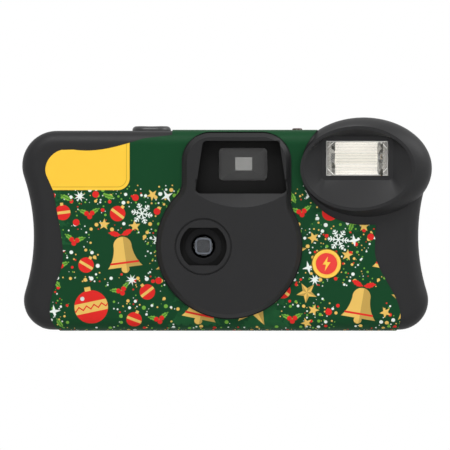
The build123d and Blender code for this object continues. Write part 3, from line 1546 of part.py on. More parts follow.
# Flash capacitor: upright can with a rolled crimp and two leads to the board
with BuildPart() as flash_capacitor:
    with BuildSketch(facing(capacitor_y)):
        with BuildLine():
            can_top = capacitor_base + capacitor_length
            crimp = can_top - capacitor_crimp
            Polyline(
                (capacitor_x, capacitor_base), (capacitor_x + capacitor_radius, capacitor_base),
                (capacitor_x + capacitor_radius, crimp - capacitor_crimp_depth))
            ThreePointArc(
                (capacitor_x + capacitor_radius, crimp - capacitor_crimp_depth),
                (capacitor_x + capacitor_radius - capacitor_crimp_depth, crimp),
                (capacitor_x + capacitor_radius, crimp + capacitor_crimp_depth))
            Polyline(
                (capacitor_x + capacitor_radius, crimp + capacitor_crimp_depth),
                (capacitor_x + capacitor_radius, can_top), (capacitor_x, can_top),
                (capacitor_x, capacitor_base))
        make_face()
    revolve(axis=Axis((capacitor_x, capacitor_y, 0), (0, 0, 1)))
    lead_y = board_y + board_thickness / 2
    for side in (-1, 1):
        with BuildSketch(level(can_top)):
            with Locations((capacitor_x + side * lead_spacing, lead_y)):
                Rectangle(lead_width, lead_width)
        extrude(amount=lead_rise * (2 + side))
        with BuildSketch(Plane.YZ.offset(board_right)):
            with Locations((lead_y, can_top + lead_rise * (2 + side) - lead_width / 2)):
                Rectangle(lead_width, lead_width)
        extrude(amount=capacitor_x + side * lead_spacing + lead_width / 2 - board_right)
flash_capacitor.part.label = "flash_capacitor"
export_step(flash_capacitor.part, "parts/flash_capacitor.step")

# Transformer on the back of the board: winding between two core plates
with BuildPart() as transformer:
    with BuildSketch(facing(board_back + transformer_depth)):
        with Locations((board_left + transformer_width / 2, transformer_z)):
            Rectangle(transformer_width, transformer_height)
    extrude(amount=transformer_depth)
    with BuildSketch(facing(board_back + transformer_depth - transformer_core)):
        for side in (-1, 1):
            with Locations((
                    board_left + transformer_width / 2 + side * (transformer_width - transformer_core) / 2,
                    transformer_z)):
                Rectangle(transformer_core, transformer_height - 2 * transformer_core)
    extrude(amount=transformer_depth - 2 * transformer_core, mode=Mode.SUBTRACT)
transformer.part.label = "transformer"
export_step(transformer.part, "parts/transformer.step")

# Trigger coil: small bobbin on the back of the board
with BuildPart() as trigger_coil:
    for base, length, radius in (
            (coil_z - coil_length / 2, coil_length, coil_radius - coil_flange),
            (coil_z - coil_length / 2, coil_flange, coil_radius),
            (coil_z + coil_length / 2 - coil_flange, coil_flange, coil_radius)):
        with BuildSketch(level(base)):
            with Locations((coil_x, board_back + coil_radius)):
                Circle(radius)
        extrude(amount=length)
trigger_coil.part.label = "trigger_coil"
export_step(trigger_coil.part, "parts/trigger_coil.step")

# Doors in the underside: each turns down on the pins of its own knuckle
def door(hinge, edge, front, back):
    """Plate with a round knuckle and pins, trimmed to the body's rounded corner."""
    with BuildPart() as panel:
        with BuildSketch(level(body_base)):
            with Locations(((hinge + edge) / 2, (front + back) / 2)):
                Rectangle(abs(hinge - edge), back - front)
        extrude(amount=door_thickness)
        with BuildSketch(facing(back)):
            with Locations((hinge, door_axis_z)):
                Circle(door_knuckle)
        extrude(amount=back - front)
        add(body_block(rear_waist, 0), mode=Mode.INTERSECT)
        add(hinge_pin(hinge, front, back, 0))
    return panel.part


with BuildPart() as film_door:
    add(door(film_door_hinge, film_door_edge, film_door_front, film_door_back))
    with BuildSketch(level(body_base)):
        with Locations((catch_x, film_door_front + catch_width)):
            Rectangle(catch_width, catch_width)
    extrude(amount=-sleeve_thickness)
film_door.part.label = "film_door"
export_step(film_door.part, "parts/film_door.step")

with BuildPart() as battery_door:
    add(door(battery_door_hinge, battery_door_edge, battery_door_front, battery_door_back))
battery_door.part.label = "battery_door"
export_step(battery_door.part, "parts/battery_door.step")
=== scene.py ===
"""Looks of the disposable film camera: its finishes, the print of its sleeve and its small details."""

import math

import bmesh
import bpy
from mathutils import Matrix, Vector


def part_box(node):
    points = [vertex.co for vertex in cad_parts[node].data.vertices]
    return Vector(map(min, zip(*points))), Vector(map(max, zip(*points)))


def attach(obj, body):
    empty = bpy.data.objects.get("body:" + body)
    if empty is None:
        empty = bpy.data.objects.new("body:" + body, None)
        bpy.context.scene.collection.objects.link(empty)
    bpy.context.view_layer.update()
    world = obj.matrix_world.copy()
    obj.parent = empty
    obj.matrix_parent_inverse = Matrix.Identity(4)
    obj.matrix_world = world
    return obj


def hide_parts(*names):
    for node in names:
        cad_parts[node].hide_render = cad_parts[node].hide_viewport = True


bl_info = {
    "name": "Disposable film camera",
    "version": (1, 0, 0),
    "blender": (4, 5, 0),
    "location": "View3D > Sidebar > Camera",
    "description": "Dresses the packed camera with its finishes, print and small details",
    "category": "Object",
}

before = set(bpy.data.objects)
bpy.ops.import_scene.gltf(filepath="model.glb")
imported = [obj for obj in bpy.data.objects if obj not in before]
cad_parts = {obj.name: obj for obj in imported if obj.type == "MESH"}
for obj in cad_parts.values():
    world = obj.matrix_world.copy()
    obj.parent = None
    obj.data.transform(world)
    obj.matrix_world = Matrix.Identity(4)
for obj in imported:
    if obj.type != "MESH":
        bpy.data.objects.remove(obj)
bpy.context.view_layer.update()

MM = 0.001

# The sleeve: its box, the radii of its rims, and how far its back is set off on the unrolled print
SLEEVE_LOW, SLEEVE_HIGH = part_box("printed_sleeve")
FRONT_RIM = 4.3 * MM
BACK_RIM = 2.3 * MM
BACK_SHIFT = 400 * MM
WELD = 0.001 * MM

# The surround: its front face, the lens, and the trapezium of the viewfinder recess
BEZEL_FRONT = -17.9 * MM
LENS_X = -6.5 * MM
LENS_Z = 24.5 * MM
LENS_OPENING = 6.7 * MM
FINDER_X = 4.3 * MM
FINDER_TOP = 54.7 * MM
FINDER_BOTTOM = 39.7 * MM
FINDER_TOP_WIDTH = 21.8 * MM
FINDER_BOTTOM_WIDTH = 26.3 * MM

# The photograph's frame in pixels, and the size of a pixel at the camera's front
PICTURE = 450
PIXEL = 0.2864 * MM


class Value:
    """One socket's number, which Python's operators can be used on."""

    def __init__(self, shader, socket):
        self.shader = shader
        self.socket = socket

    def _with(self, operation, other):
        return self.shader.math(operation, self, other)

    def _from(self, operation, other):
        return self.shader.math(operation, other, self)

    def __add__(self, other):
        return self._with("ADD", other)

    def __radd__(self, other):
        return self._from("ADD", other)

    def __sub__(self, other):
        return self._with("SUBTRACT", other)

    def __rsub__(self, other):
        return self._from("SUBTRACT", other)

    def __mul__(self, other):
        return self._with("MULTIPLY", other)

    def __rmul__(self, other):
        return self._from("MULTIPLY", other)

    def __truediv__(self, other):
        return self._with("DIVIDE", other)

    def __lt__(self, other):
        return self._with("LESS_THAN", other)

    def __gt__(self, other):
        return self._with("GREATER_THAN", other)

    def __abs__(self):
        return self.shader.math("ABSOLUTE", self)


class Shader:
    """One material, built node by node."""

    def __init__(self, name):
        self.material = bpy.data.materials.new(name)
        self.material.use_nodes = True
        self.tree = self.material.node_tree
        self.surface = self.tree.nodes["Principled BSDF"]

    def make(self, kind, values=None, settings=None, output=0):
        """Adds a node with its settings and its sockets' values or links, and gives one of its outputs."""
        node = self.tree.nodes.new(kind)
        for name, setting in (settings or {}).items():
            setattr(node, name, setting)
        for key, value in (values or {}).items():
            self.feed(node.inputs[key], value)
        return Value(self, node.outputs[output])

    def feed(self, socket, value):
        """Links a socket to a value, or sets it."""
        if isinstance(value, Value):
            self.tree.links.new(value.socket, socket)
        else:
            socket.default_value = value

    def math(self, operation, *values):
        return self.make("ShaderNodeMath", dict(enumerate(values)), {"operation": operation})

    def mix(self, share, low, high):
        """Mixes two colours."""
        return self.make("ShaderNodeMix", {0: share, 6: low, 7: high}, {"data_type": "RGBA"}, 2)

    def split(self, vector):
        """The three parts of a vector."""
        node = self.tree.nodes.new("ShaderNodeSeparateXYZ")
        self.feed(node.inputs[0], vector)
        return [Value(self, output) for output in node.outputs]

    def place(self):
        """Object coordinates."""
        return self.make("ShaderNodeTexCoord", output=3)

    def joined(self, x, y, z=0.0):
        """A vector from its parts."""
        return self.make("ShaderNodeCombineXYZ", {0: x, 1: y, 2: z})

    def length(self, x, y):
        """Distance from the origin."""
        return self.math("SQRT", x * x + y * y)

    def fade(self, value, full, gone):
        """One up to the first limit, zero from the second, and even between them."""
        return self.make("ShaderNodeMapRange", {0: value, 1: full, 2: gone, 3: 1.0, 4: 0.0})

    def noise(self, scale, detail=2.0, vector=None):
        return self.make("ShaderNodeTexNoise", {
            "Vector": vector or self.place(), "Scale": scale, "Detail": detail})

    def bump(self, height, distance, strength):
        self.feed(self.surface.inputs["Normal"], self.make("ShaderNodeBump", {
            "Height": height, "Distance": distance, "Strength": strength}))

    def set(self, **values):
        """Feeds the surface's sockets, whose names have spaces for the underscores."""
        for name, value in values.items():
            self.feed(self.surface.inputs[name.replace("_", " ")], value)

    def keep(self, name, value):
        """Sets one of the surface's sockets to a number that is the same all over."""
        self.surface.inputs[name].default_value = value


def rgb(red, green, blue):
    """Colour from screen values, 0 to 255."""
    def linear(value):
        share = value / 255
        return share / 12.92 if share <= 0.04045 else ((share + 0.055) / 1.055) ** 2.4
    return (linear(red), linear(green), linear(blue), 1.0)


def opaque(colour):
    return tuple(colour) + (1.0,)


def shade(colour, factor):
    """The colour, darker or lighter by a factor."""
    return tuple(part * factor for part in colour[:3]) + (1.0,)


def middle_and_half(node):
    """The middle of a CAD node's box, and its half sizes."""
    low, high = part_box(node)
    return [(a + b) / 2 for a, b in zip(low, high)], [(b - a) / 2 for a, b in zip(low, high)]


def moulded_plastic(name, colour, roughness, gloss=0.5):
    """Moulded plastic with a fine spark-eroded grain and a slightly uneven gloss."""
    s = Shader(name)
    s.keep("Specular IOR Level", gloss)
    cloud = s.noise(90.0, 3.0)
    fine = s.noise(2600.0)
    s.set(Base_Color=s.mix(cloud, shade(colour, 0.9), shade(colour, 1.1)),
          Roughness=roughness - 0.06 + 0.08 * cloud + 0.05 * fine)
    s.bump(fine, 0.02 * MM, 0.6)
    return s.material


def clear_plastic(name, tint):
    """Clear moulded plastic with faint flow marks."""
    s = Shader(name)
    flow = s.noise(140.0, 1.0)
    s.set(Base_Color=s.mix(flow, tint, shade(tint, 0.97)), Roughness=0.01 + 0.02 * flow)
    s.keep("Transmission Weight", 1.0)
    s.keep("IOR", 1.49)
    s.keep("Specular IOR Level", 0.25)
    return s.material


def ribbed_clear(name):
    """Flash window: clear, with fine ribs; painted highlights along its edges and in slanted lines across
    its corners, and painted dark reflections as dark flecks on the facets near its ends.
    """
    rib_count, rib_share = 12, 0.22
    edge_highlight_width, facet_start, facet_end = 0.3 * MM, 1.5 * MM, 2.6 * MM
    slant_reach, slant_half = 2.4 * MM, 0.16 * MM
    s = Shader(name)
    middle, half = middle_and_half("flash_window")
    x, _, z = s.split(s.place())
    across, up = abs(x - middle[0]), abs(z - middle[2])
    # Painted highlight: an opaque light band along each edge.
    edge = s.math("MAXIMUM", across > half[0] - edge_highlight_width, up > half[2] - edge_highlight_width)
    facet = (across > half[0] - facet_end) * (across < half[0] - facet_start)
    # Painted dark reflections: opaque dark flecks on the facets near the ends.
    dark_reflection_spots = facet * (s.noise(520.0) > 0.52)
    # Painted highlight: a slanted light line across each corner.
    slant = abs(across + up - half[0] - half[2] + slant_reach) < slant_half
    rib = s.math("FRACT", z / (2 * half[2] / rib_count)) < rib_share
    light = s.math("MAXIMUM", edge, slant)
    s.set(Base_Color=s.mix(dark_reflection_spots, (0.93, 0.92, 0.88, 1.0), (0.06, 0.06, 0.05, 1.0)),
          Roughness=0.06 + 0.1 * rib,
          Alpha=s.math("MAXIMUM", light * 0.85, s.math("MAXIMUM", dark_reflection_spots * 0.75, 0.1 + 0.1 * rib)))
    s.bump(s.noise(140.0, 1.0), 0.01 * MM, 0.3)
    return s.material


def reflector_white(name):
    """Bright foil of the flash, with a painted glow that stands in for the light its window throws about,
    and painted shade at its ends, which are darker and glow less.
    """
    shaded_end_length = 2.5 * MM
    # Painted glow: emission in the middle of the foil, weaker at the ends.
    glow, painted_glow_at_ends = 0.38, 0.05
    warm_white = rgb(250, 247, 239)
    s = Shader(name)
    middle, half = middle_and_half("flash_reflector")
    x, _, z = s.split(s.place())
    # Painted shade at the ends of the reflector: darker colour and less glow.
    end = abs(x - middle[0]) > half[0] - shaded_end_length
    streak = s.noise(1.0, vector=s.joined(x * 40.0, z * 1500.0))
    foil = s.mix(streak, rgb(214, 206, 192), rgb(252, 250, 244))
    s.set(Base_Color=s.mix(end, foil, rgb(120, 118, 112)), Roughness=0.16 + 0.1 * streak,
          Emission_Color=s.mix(end, shade(warm_white, glow), shade(warm_white, painted_glow_at_ends)))
    s.keep("Emission Strength", 1.0)
    return s.material


def stopped_plate(name):
    """Aperture plate: matt black with a painted highlight, a light line along the stepped square edge round
    the aperture.
    """
    highlight_reach, highlight_core, highlight_fade, squareness = 1.95, 0.12, 0.3, 5.0
    s = Shader(name)
    x, _, z = s.split(s.place())
    sides = [s.math("POWER", abs(side) / MM, squareness) for side in (x - LENS_X, z - LENS_Z)]
    square = s.math("POWER", sides[0] + sides[1], 1.0 / squareness)
    # Painted highlight: a light square line round the aperture.
    step_highlight = s.fade(abs(square - highlight_reach), highlight_core, highlight_fade)
    uneven = s.noise(400.0)
    s.set(Base_Color=s.mix(step_highlight, rgb(14, 14, 15), rgb(200, 200, 203)), Roughness=0.7 + 0.1 * uneven)
    s.keep("Specular IOR Level", 0.15)
    s.bump(uneven, 0.01 * MM, 0.3)
    return s.material


def sheet_metal(name, colour, roughness, along=(1.0, 1.0, 1.0)):
    """Rolled or plated metal with fine marks along its rolling direction."""
    s = Shader(name)
    stretched = s.make("ShaderNodeMapping", {"Vector": s.place(), "Scale": along})
    marks = s.noise(1800.0, vector=stretched)
    s.set(Base_Color=s.mix(marks, shade(colour, 0.92), colour), Metallic=1.0,
          Roughness=roughness + 0.12 * marks)
    s.bump(marks, 0.004 * MM, 0.4)
    return s.material


def lacquer(name, colour, roughness):
    """Painted or wrapped surface with slight unevenness."""
    s = Shader(name)
    uneven = s.noise(300.0)
    s.set(Base_Color=s.mix(uneven, shade(colour, 0.94), shade(colour, 1.06)),
          Roughness=roughness + 0.1 * uneven)
    s.bump(uneven, 0.01 * MM, 0.3)
    return s.material


def felt(name):
    """Short dark pile."""
    s = Shader(name)
    pile = s.noise(6000.0)
    s.set(Base_Color=s.mix(pile, rgb(8, 8, 8), rgb(30, 30, 32)), Roughness=0.95)
    s.bump(pile, 0.08 * MM, 1.0)
    return s.material


def film_base(name):
    """Film: brown grey, with a sheen and faint bands."""
    s = Shader(name)
    bands = s.noise(40.0, 1.0)
    s.set(Base_Color=s.mix(bands, rgb(96, 70, 62), rgb(118, 88, 80)), Roughness=0.22 + 0.08 * bands)
    s.bump(s.noise(900.0), 0.002 * MM, 0.3)
    return s.material


def resin_board(name):
    """Circuit board with copper tracks under brown resin."""
    s = Shader(name)
    x, _, z = s.split(s.place())
    tracks = s.make("ShaderNodeTexBrick", {
        "Vector": s.joined(x, z), "Scale": 160.0, "Mortar Size": 0.06, "Color1": rgb(150, 105, 52),
        "Color2": rgb(138, 96, 48), "Mortar": rgb(186, 122, 60)}, {"offset": 0.5})
    s.set(Base_Color=tracks, Roughness=0.35 + 0.2 * s.noise(300.0))
    s.bump(s.noise(1500.0), 0.01 * MM, 0.3)
    return s.material


def wound_wire(name):
    """Enamelled copper wire, turn by turn, with painted shade between the turns and a painted highlight
    along each.
    """
    s = Shader(name)
    turn_ridges_and_shade = s.make("ShaderNodeTexWave", {"Vector": s.place(), "Scale": 900.0}, {"bands_direction": "Z"}, 1)
    # Painted shade and highlight, turn by turn; the same pattern drives the roughness and the bumps of the
    # turns.
    s.set(Base_Color=s.mix(turn_ridges_and_shade, rgb(120, 50, 20), rgb(205, 110, 55)), Metallic=0.8,
          Roughness=0.3 + 0.1 * turn_ridges_and_shade)
    s.bump(turn_ridges_and_shade, 0.05 * MM, 0.8)
    return s.material


def cell_jacket(name):
    """Battery wrap with a plain coloured band at its upper end."""
    band_start = 39.0 * MM
    s = Shader(name)
    _, _, z = s.split(s.place())
    band = z > band_start
    uneven = s.noise(300.0)
    s.set(Base_Color=s.mix(band, rgb(28, 74, 60), rgb(196, 150, 60)), Metallic=0.35 * band,
          Roughness=0.25 + 0.1 * uneven)
    s.bump(uneven, 0.01 * MM, 0.3)
    return s.material


def ringed_button(name, settings):
    """The charge button: red middle, gold ring outside its groove."""
    groove_radius = 3.05 * MM
    s = Shader(name)
    middle, _ = middle_and_half("flash_button")
    x, _, z = s.split(s.place())
    ring = s.length(x - middle[0], z - middle[2]) > groove_radius
    uneven = s.noise(200.0)
    s.set(Base_Color=s.mix(ring, opaque(settings.button_red), opaque(settings.button_gold)),
          Roughness=0.3 + 0.1 * uneven)
    s.bump(uneven, 0.01 * MM, 0.4)
    return s.material


class Print:
    """Generic festive pattern of the sleeve, in its own unrolled coordinates in millimetres."""

    # Size of a cell, its seed, the share that its motif may stray by, the share of cells that
    # hold one, and how high up the front they go
    LARGE = (15.2, 37.0, 0.1, 0.6, 36.0)
    MIDDLE = (7.6, 23.0, 0.12, 0.82, 37.5)
    SMALL = (4.1, 17.0, 0.3, 0.92, 39.5)
    DOTS = (2.0, 11.0, 0.55, 0.9, 41.0)
    SPECKS = (1.25, 7.0, 0.6, 0.6, 42.0)
    FIRS = (25.0, 3.0, 0.3, 0.65, 50.0)

    # How far each row is slid along, as a share of a cell, and how far a mask's soft edge reaches
    ROW_SHIFT_SHARE = 0.41
    EDGE = 0.05

    def __init__(self, shader, settings):
        self.s = shader
        self.ink = {key: opaque(getattr(settings, key)) for key in (
            "dark_green", "mid_green", "light_green", "berry_red", "gold", "snow_white", "label")}
        self.u, self.v, _ = shader.split(shader.make("ShaderNodeUVMap", settings={"uv_map": "unrolled"}))
        self.colour = self.ink["dark_green"]

    def paint(self, mask, ink):
        """Lays an ink, or another colour, over what is there."""
        self.colour = self.s.mix(mask, self.colour, self.ink.get(ink, ink))

    def cell(self, kind, turn=0.0, at=None):
        """Point measured from its cell's motif, the motif's choice, its centre and whether it is there."""
        size, seed, stray, share, top = kind
        u, v = at or (self.u, self.v)
        row = self.s.math("FLOOR", v / size)
        slid = u + row * (self.ROW_SHIFT_SHARE * size)
        column = self.s.math("FLOOR", slid / size)
        first, second, third = self.s.split(self.s.make(
            "ShaderNodeTexWhiteNoise", {"Vector": self.s.joined(column + 0.37, row + 0.71, seed)},
            {"noise_dimensions": "3D"}, 1))
        choice = self.s.math("FRACT", column * 0.618 + row * 0.382 + third * 0.3 + 50.0)
        x = slid - (column + 0.5) * size - (first - 0.5) * (stray * size)
        y = v - (row + 0.5) * size - (second - 0.5) * (stray * size)
        centre = (u - x, v - y)
        there = (choice < share) * (centre[1] < top)
        if turn:
            angle = (first - 0.5) * turn
            cosine = self.s.math("COSINE", angle)
            sine = self.s.math("SINE", angle)
            x, y = x * cosine - y * sine, x * sine + y * cosine
        return x, y, choice / share, centre, there

    def clear(self, centre, *others):
        """Whether a motif's centre keeps clear of larger motifs."""
        mask = 1.0
        for kind, clearance in others:
            x, y, _, _, there = self.cell(kind, at=centre)
            mask = (1.0 - there * (self.s.length(x, y) < clearance)) * mask
        return mask

    def inside(self, distance):
        """Soft-edged mask where a distance is below zero."""
        return self.s.fade(distance, -self.EDGE, self.EDGE)

    def between(self, choice, start, end):
        """Mask of a range of choices."""
        return (choice > start) * (choice < end)

    def disc(self, x, y, radius):
        return self.inside(self.s.length(x, y) - radius)

    def box(self, x, y, half_x, half_y):
        return self.inside(abs(x) - half_x) * self.inside(abs(y) - half_y)

    def any(self, *masks):
        """Mask of all the masks together."""
        result = masks[0]
        for mask in masks[1:]:
            result = self.s.math("MAXIMUM", result, mask)
        return result

    def folded(self, x, y, count):
        """Folds a point into one half of one of a number of equal sectors, and tells which half."""
        sector = 2 * math.pi / count
        share = self.s.math("FRACT", self.s.math("ARCTAN2", y, x) / sector + (0.5 - count / 4) + 8.0)
        angle = abs(share - 0.5) * sector
        radius = self.s.length(x, y)
        return radius * self.s.math("COSINE", angle), radius * self.s.math("SINE", angle), share > 0.5

    def star(self, x, y, radius, count=5, waist=0.42):
        """Star with its notches at a share of its radius, and the mask of one side of each ray."""
        a, b, half = self.folded(x, y, count)
        p = waist * radius * math.cos(math.pi / count)
        q = waist * radius * math.sin(math.pi / count)
        edge = math.hypot(q, radius - p)
        return self.inside(a * (q / edge) + b * ((radius - p) / edge) - radius * q / edge), half

    def flake(self, x, y, radius, stroke):
        a, b, _ = self.folded(x, y, 6)
        result = self.inside(b - stroke) * self.inside(a - radius)
        for place, reach in ((0.36, 0.20), (0.60, 0.26), (0.82, 0.14)):
            slant = abs(a - radius * place - b * 0.6) * 0.86 - stroke
            result = self.any(result, self.inside(slant) * self.inside(b - radius * reach))
        return result

    def fir(self, x, y, radius):
        share = (radius - y) / (2 * radius)
        tier = self.s.math("FRACT", share * 3.0)
        half = radius * 0.72 * (share * 0.5 + tier * 0.5)
        trunk = self.box(x, y + radius * 1.1, radius * 0.12, radius * 0.16)
        return self.any(trunk, self.inside(abs(x) - half) * self.inside(abs(y) - radius))

    def bell(self, x, y, radius):
        share = (radius * 0.8 - y) / (1.6 * radius)
        flare = self.s.math("POWER", self.s.math("MAXIMUM", share, 0.0), 3.0)
        half = radius * (0.44 + 0.46 * flare)
        body = self.inside(abs(x) - half) * self.inside(abs(y + radius * 0.22) - radius * 0.56)
        crown = self.disc(x, y - radius * 0.32, radius * 0.46)
        return self.any(body, crown, self.disc(x, y + radius * 0.88, radius * 0.2))

    def leaf(self, x, y, radius, slim=0.4):
        lobes = abs(self.s.math("SINE", x * (7.0 / radius))) * (0.1 * radius)
        width = slim * radius * (1.0 - (x / radius) * (x / radius))
        return self.inside(abs(y) - width + lobes) * self.inside(abs(x) - radius)

    def ground(self):
        """Dark green with large soft firs in a slightly lighter green."""
        radius, ragged = 10.5, 7.0
        x, y, _, _, there = self.cell(self.FIRS)
        flat = self.s.joined(self.u, self.v)
        stray = (self.s.noise(0.9, 3.0, flat) - 0.5) * ragged
        fir = self.fir(x + stray, y + stray * 0.6, radius)
        self.paint(fir * there * self.s.noise(0.3, 1.0, flat), "mid_green")

    def dots(self):
        """Specks and dots between the motifs."""
        large_clearance, middle_clearance = 6.4, 3.3
        for kind, least, more in ((self.SPECKS, 0.1, 0.16), (self.DOTS, 0.16, 0.42)):
            x, y, choice, centre, there = self.cell(kind)
            radius = least + more * self.s.math("FRACT", choice * 7.0)
            dot = self.disc(x, y, radius) * there * self.clear(
                centre, (self.LARGE, large_clearance), (self.MIDDLE, middle_clearance))
            self.paint(dot * (choice < 0.36), "snow_white")
            self.paint(dot * self.between(choice, 0.36, 0.62), "light_green")
            self.paint(dot * self.between(choice, 0.62, 0.88), "gold")
            self.paint(dot * (choice > 0.88), "berry_red")

    def small_motifs(self):
        """Small stars, leaves and berries."""
        large_clearance, middle_clearance = 7.3, 4.2
        spark_radius, star_radius, leaf_radius, berry_radius = 1.9, 1.7, 1.9, 0.95
        vein_half_length, vein_half_width = 1.5, 0.08
        x, y, choice, centre, there = self.cell(self.SMALL, 5.0)
        shown = there * self.clear(centre, (self.LARGE, large_clearance), (self.MIDDLE, middle_clearance))
        self.paint(self.star(x, y, spark_radius, 4, 0.3)[0] * (choice < 0.2) * shown, "snow_white")
        self.paint(self.star(x, y, star_radius)[0] * self.between(choice, 0.2, 0.42) * shown, "gold")
        many_rayed, _ = self.star(x, y, star_radius, 8, 0.35)
        self.paint(many_rayed * self.between(choice, 0.42, 0.56) * shown, "snow_white")
        leafy = self.between(choice, 0.56, 0.8) * shown
        self.paint(self.leaf(x, y, leaf_radius) * leafy, "light_green")
        self.paint(self.box(x, y, vein_half_length, vein_half_width) * leafy, "dark_green")
        self.paint(self.disc(x, y, berry_radius) * (choice > 0.8) * shown, "berry_red")

    def middle_motifs(self):
        """Holly, snowflakes, stars and baubles of a middle size."""
        large_clearance = 8.9
        leaf_radius, leaf_out, lean_along, lean_across, berry_radius = 1.8, 1.6, 0.9, 0.42, 0.7
        vein_half_length, vein_half_width = 1.4, 0.08
        flake_radius, flake_stroke, star_radius, ball_radius, ball_band = 3.1, 0.15, 3.0, 2.2, 0.4
        x, y, choice, centre, there = self.cell(self.MIDDLE, 1.4)
        shown = there * self.clear(centre, (self.LARGE, large_clearance))
        holly = (choice < 0.34) * shown
        for side in (-1.0, 1.0):
            along = x * (lean_along * side) + y * lean_across - leaf_out
            across = y * lean_along - x * (lean_across * side)
            self.paint(self.leaf(along, across, leaf_radius) * holly, "light_green")
            self.paint(self.box(along, across, vein_half_length, vein_half_width) * holly, "dark_green")
        berries = [self.disc(x + right, y + down, berry_radius) for right, down in (
            (0.0, 0.8), (-0.8, -0.2), (0.8, -0.2))]
        self.paint(self.any(*berries) * holly, "berry_red")
        flake = self.flake(x, y, flake_radius, flake_stroke)
        self.paint(flake * self.between(choice, 0.34, 0.56) * shown, "snow_white")
        star, half = self.star(x, y, star_radius)
        starry = star * self.between(choice, 0.56, 0.78) * shown
        self.paint(starry, "gold")
        self.paint(starry * half, shade(self.ink["gold"], 0.62))
        ball = (choice > 0.78) * shown
        self.paint(self.disc(x, y, ball_radius) * ball, "berry_red")
        self.paint(self.disc(x, y, ball_radius) * self.inside(abs(y) - ball_band) * ball, "gold")
        self.paint(self.box(x, y - 2.4, 0.45, 0.4) * ball, "gold")

    def large_motifs(self):
        """Large stars, baubles, snowflakes, bells and trees."""
        x, y, choice, _, shown = self.cell(self.LARGE, 0.5)
        self.large_star(x, y, (choice < 0.26) * shown)
        self.large_ball(x, y, self.between(choice, 0.26, 0.46) * shown)
        self.paint(self.flake(x, y, 6.5, 0.24) * self.between(choice, 0.46, 0.64) * shown, "snow_white")
        self.large_bell(x, y, self.between(choice, 0.64, 0.84) * shown)
        self.large_tree(x, y, (choice > 0.84) * shown)

    def large_star(self, x, y, shown):
        star, half = self.star(x, y, 6.4)
        self.paint(star * shown, "gold")
        self.paint(star * shown * half, shade(self.ink["gold"], 0.6))

    def large_ball(self, x, y, shown):
        radius, band, zigzag, zigzag_line = 4.8, 1.5, 1.1, 0.24
        line = abs(y - self.s.math("PINGPONG", x + 20.0, zigzag) + zigzag / 2)
        ball = self.disc(x, y, radius) * shown
        self.paint(ball, "berry_red")
        self.paint(ball * self.inside(abs(y) - band), "gold")
        self.paint(ball * self.inside(line - zigzag_line), "berry_red")
        self.paint(self.disc(x + 2.0, y - 2.8, 0.6) * shown, shade(self.ink["snow_white"], 0.8))
        self.paint(self.box(x, y - 5.2, 0.85, 0.6) * shown, "gold")

    def large_bell(self, x, y, shown):
        radius, bow_radius, bow_out, bow_up, bow_lean = 5.6, 1.8, 1.8, 4.9, 0.3
        bell = self.bell(x, y, radius) * shown
        self.paint(bell, "gold")
        self.paint(bell * (x > 0.4), shade(self.ink["gold"], 0.66))
        self.paint(self.box(x, y + 3.1, 4.1, 0.28) * shown, "berry_red")
        for side in (-1.0, 1.0):
            bow = self.leaf(x * side - bow_out, y - bow_up - x * (bow_lean * side), bow_radius, 0.5)
            self.paint(bow * shown, "berry_red")

    def large_tree(self, x, y, shown):
        radius, star_radius = 5.5, 1.4
        tree = self.fir(x, y, radius) * shown
        self.paint(tree, "light_green")
        self.paint(tree * (x > 0.0), shade(self.ink["light_green"], 0.6))
        self.paint(self.star(x, y - 5.7, star_radius)[0] * shown, "gold")
        balls = [self.disc(x + right, y + down, ball_radius) for right, down, ball_radius in (
            (1.1, 1.2, 0.45), (-1.3, 3.7, 0.45), (-0.5, -1.8, 0.4))]
        self.paint(self.any(*balls) * shown, "berry_red")

    def label(self):
        """Plain field in the upper corner of the front, with a thin line inside its edge."""
        corner_u, corner_v, corner_radius = -31.0, 44.0, 3.4
        line_inset, line_half, front_top = 0.9, 0.1, 60.0
        x = self.s.math("MAXIMUM", self.u - corner_u, 0.0)
        y = self.s.math("MAXIMUM", corner_v - self.v, 0.0)
        edge = self.s.length(x, y) - corner_radius
        front = self.v < front_top
        self.paint(self.inside(edge) * front, "label")
        self.paint(self.inside(abs(edge + line_inset) - line_half) * front, shade(self.ink["label"], 0.62))


def printed_card(name, settings):
    """Sleeve: printed card with a faint fibre."""
    s = Shader(name)
    pattern = Print(s, settings)
    pattern.ground()
    pattern.dots()
    pattern.small_motifs()
    pattern.middle_motifs()
    pattern.large_motifs()
    pattern.label()
    fibre = s.noise(1400.0, 3.0)
    s.set(Base_Color=pattern.colour, Roughness=0.46 + 0.12 * fibre)
    s.keep("Specular IOR Level", 0.12)
    s.bump(fibre, 0.006 * MM, 0.5)
    return s.material


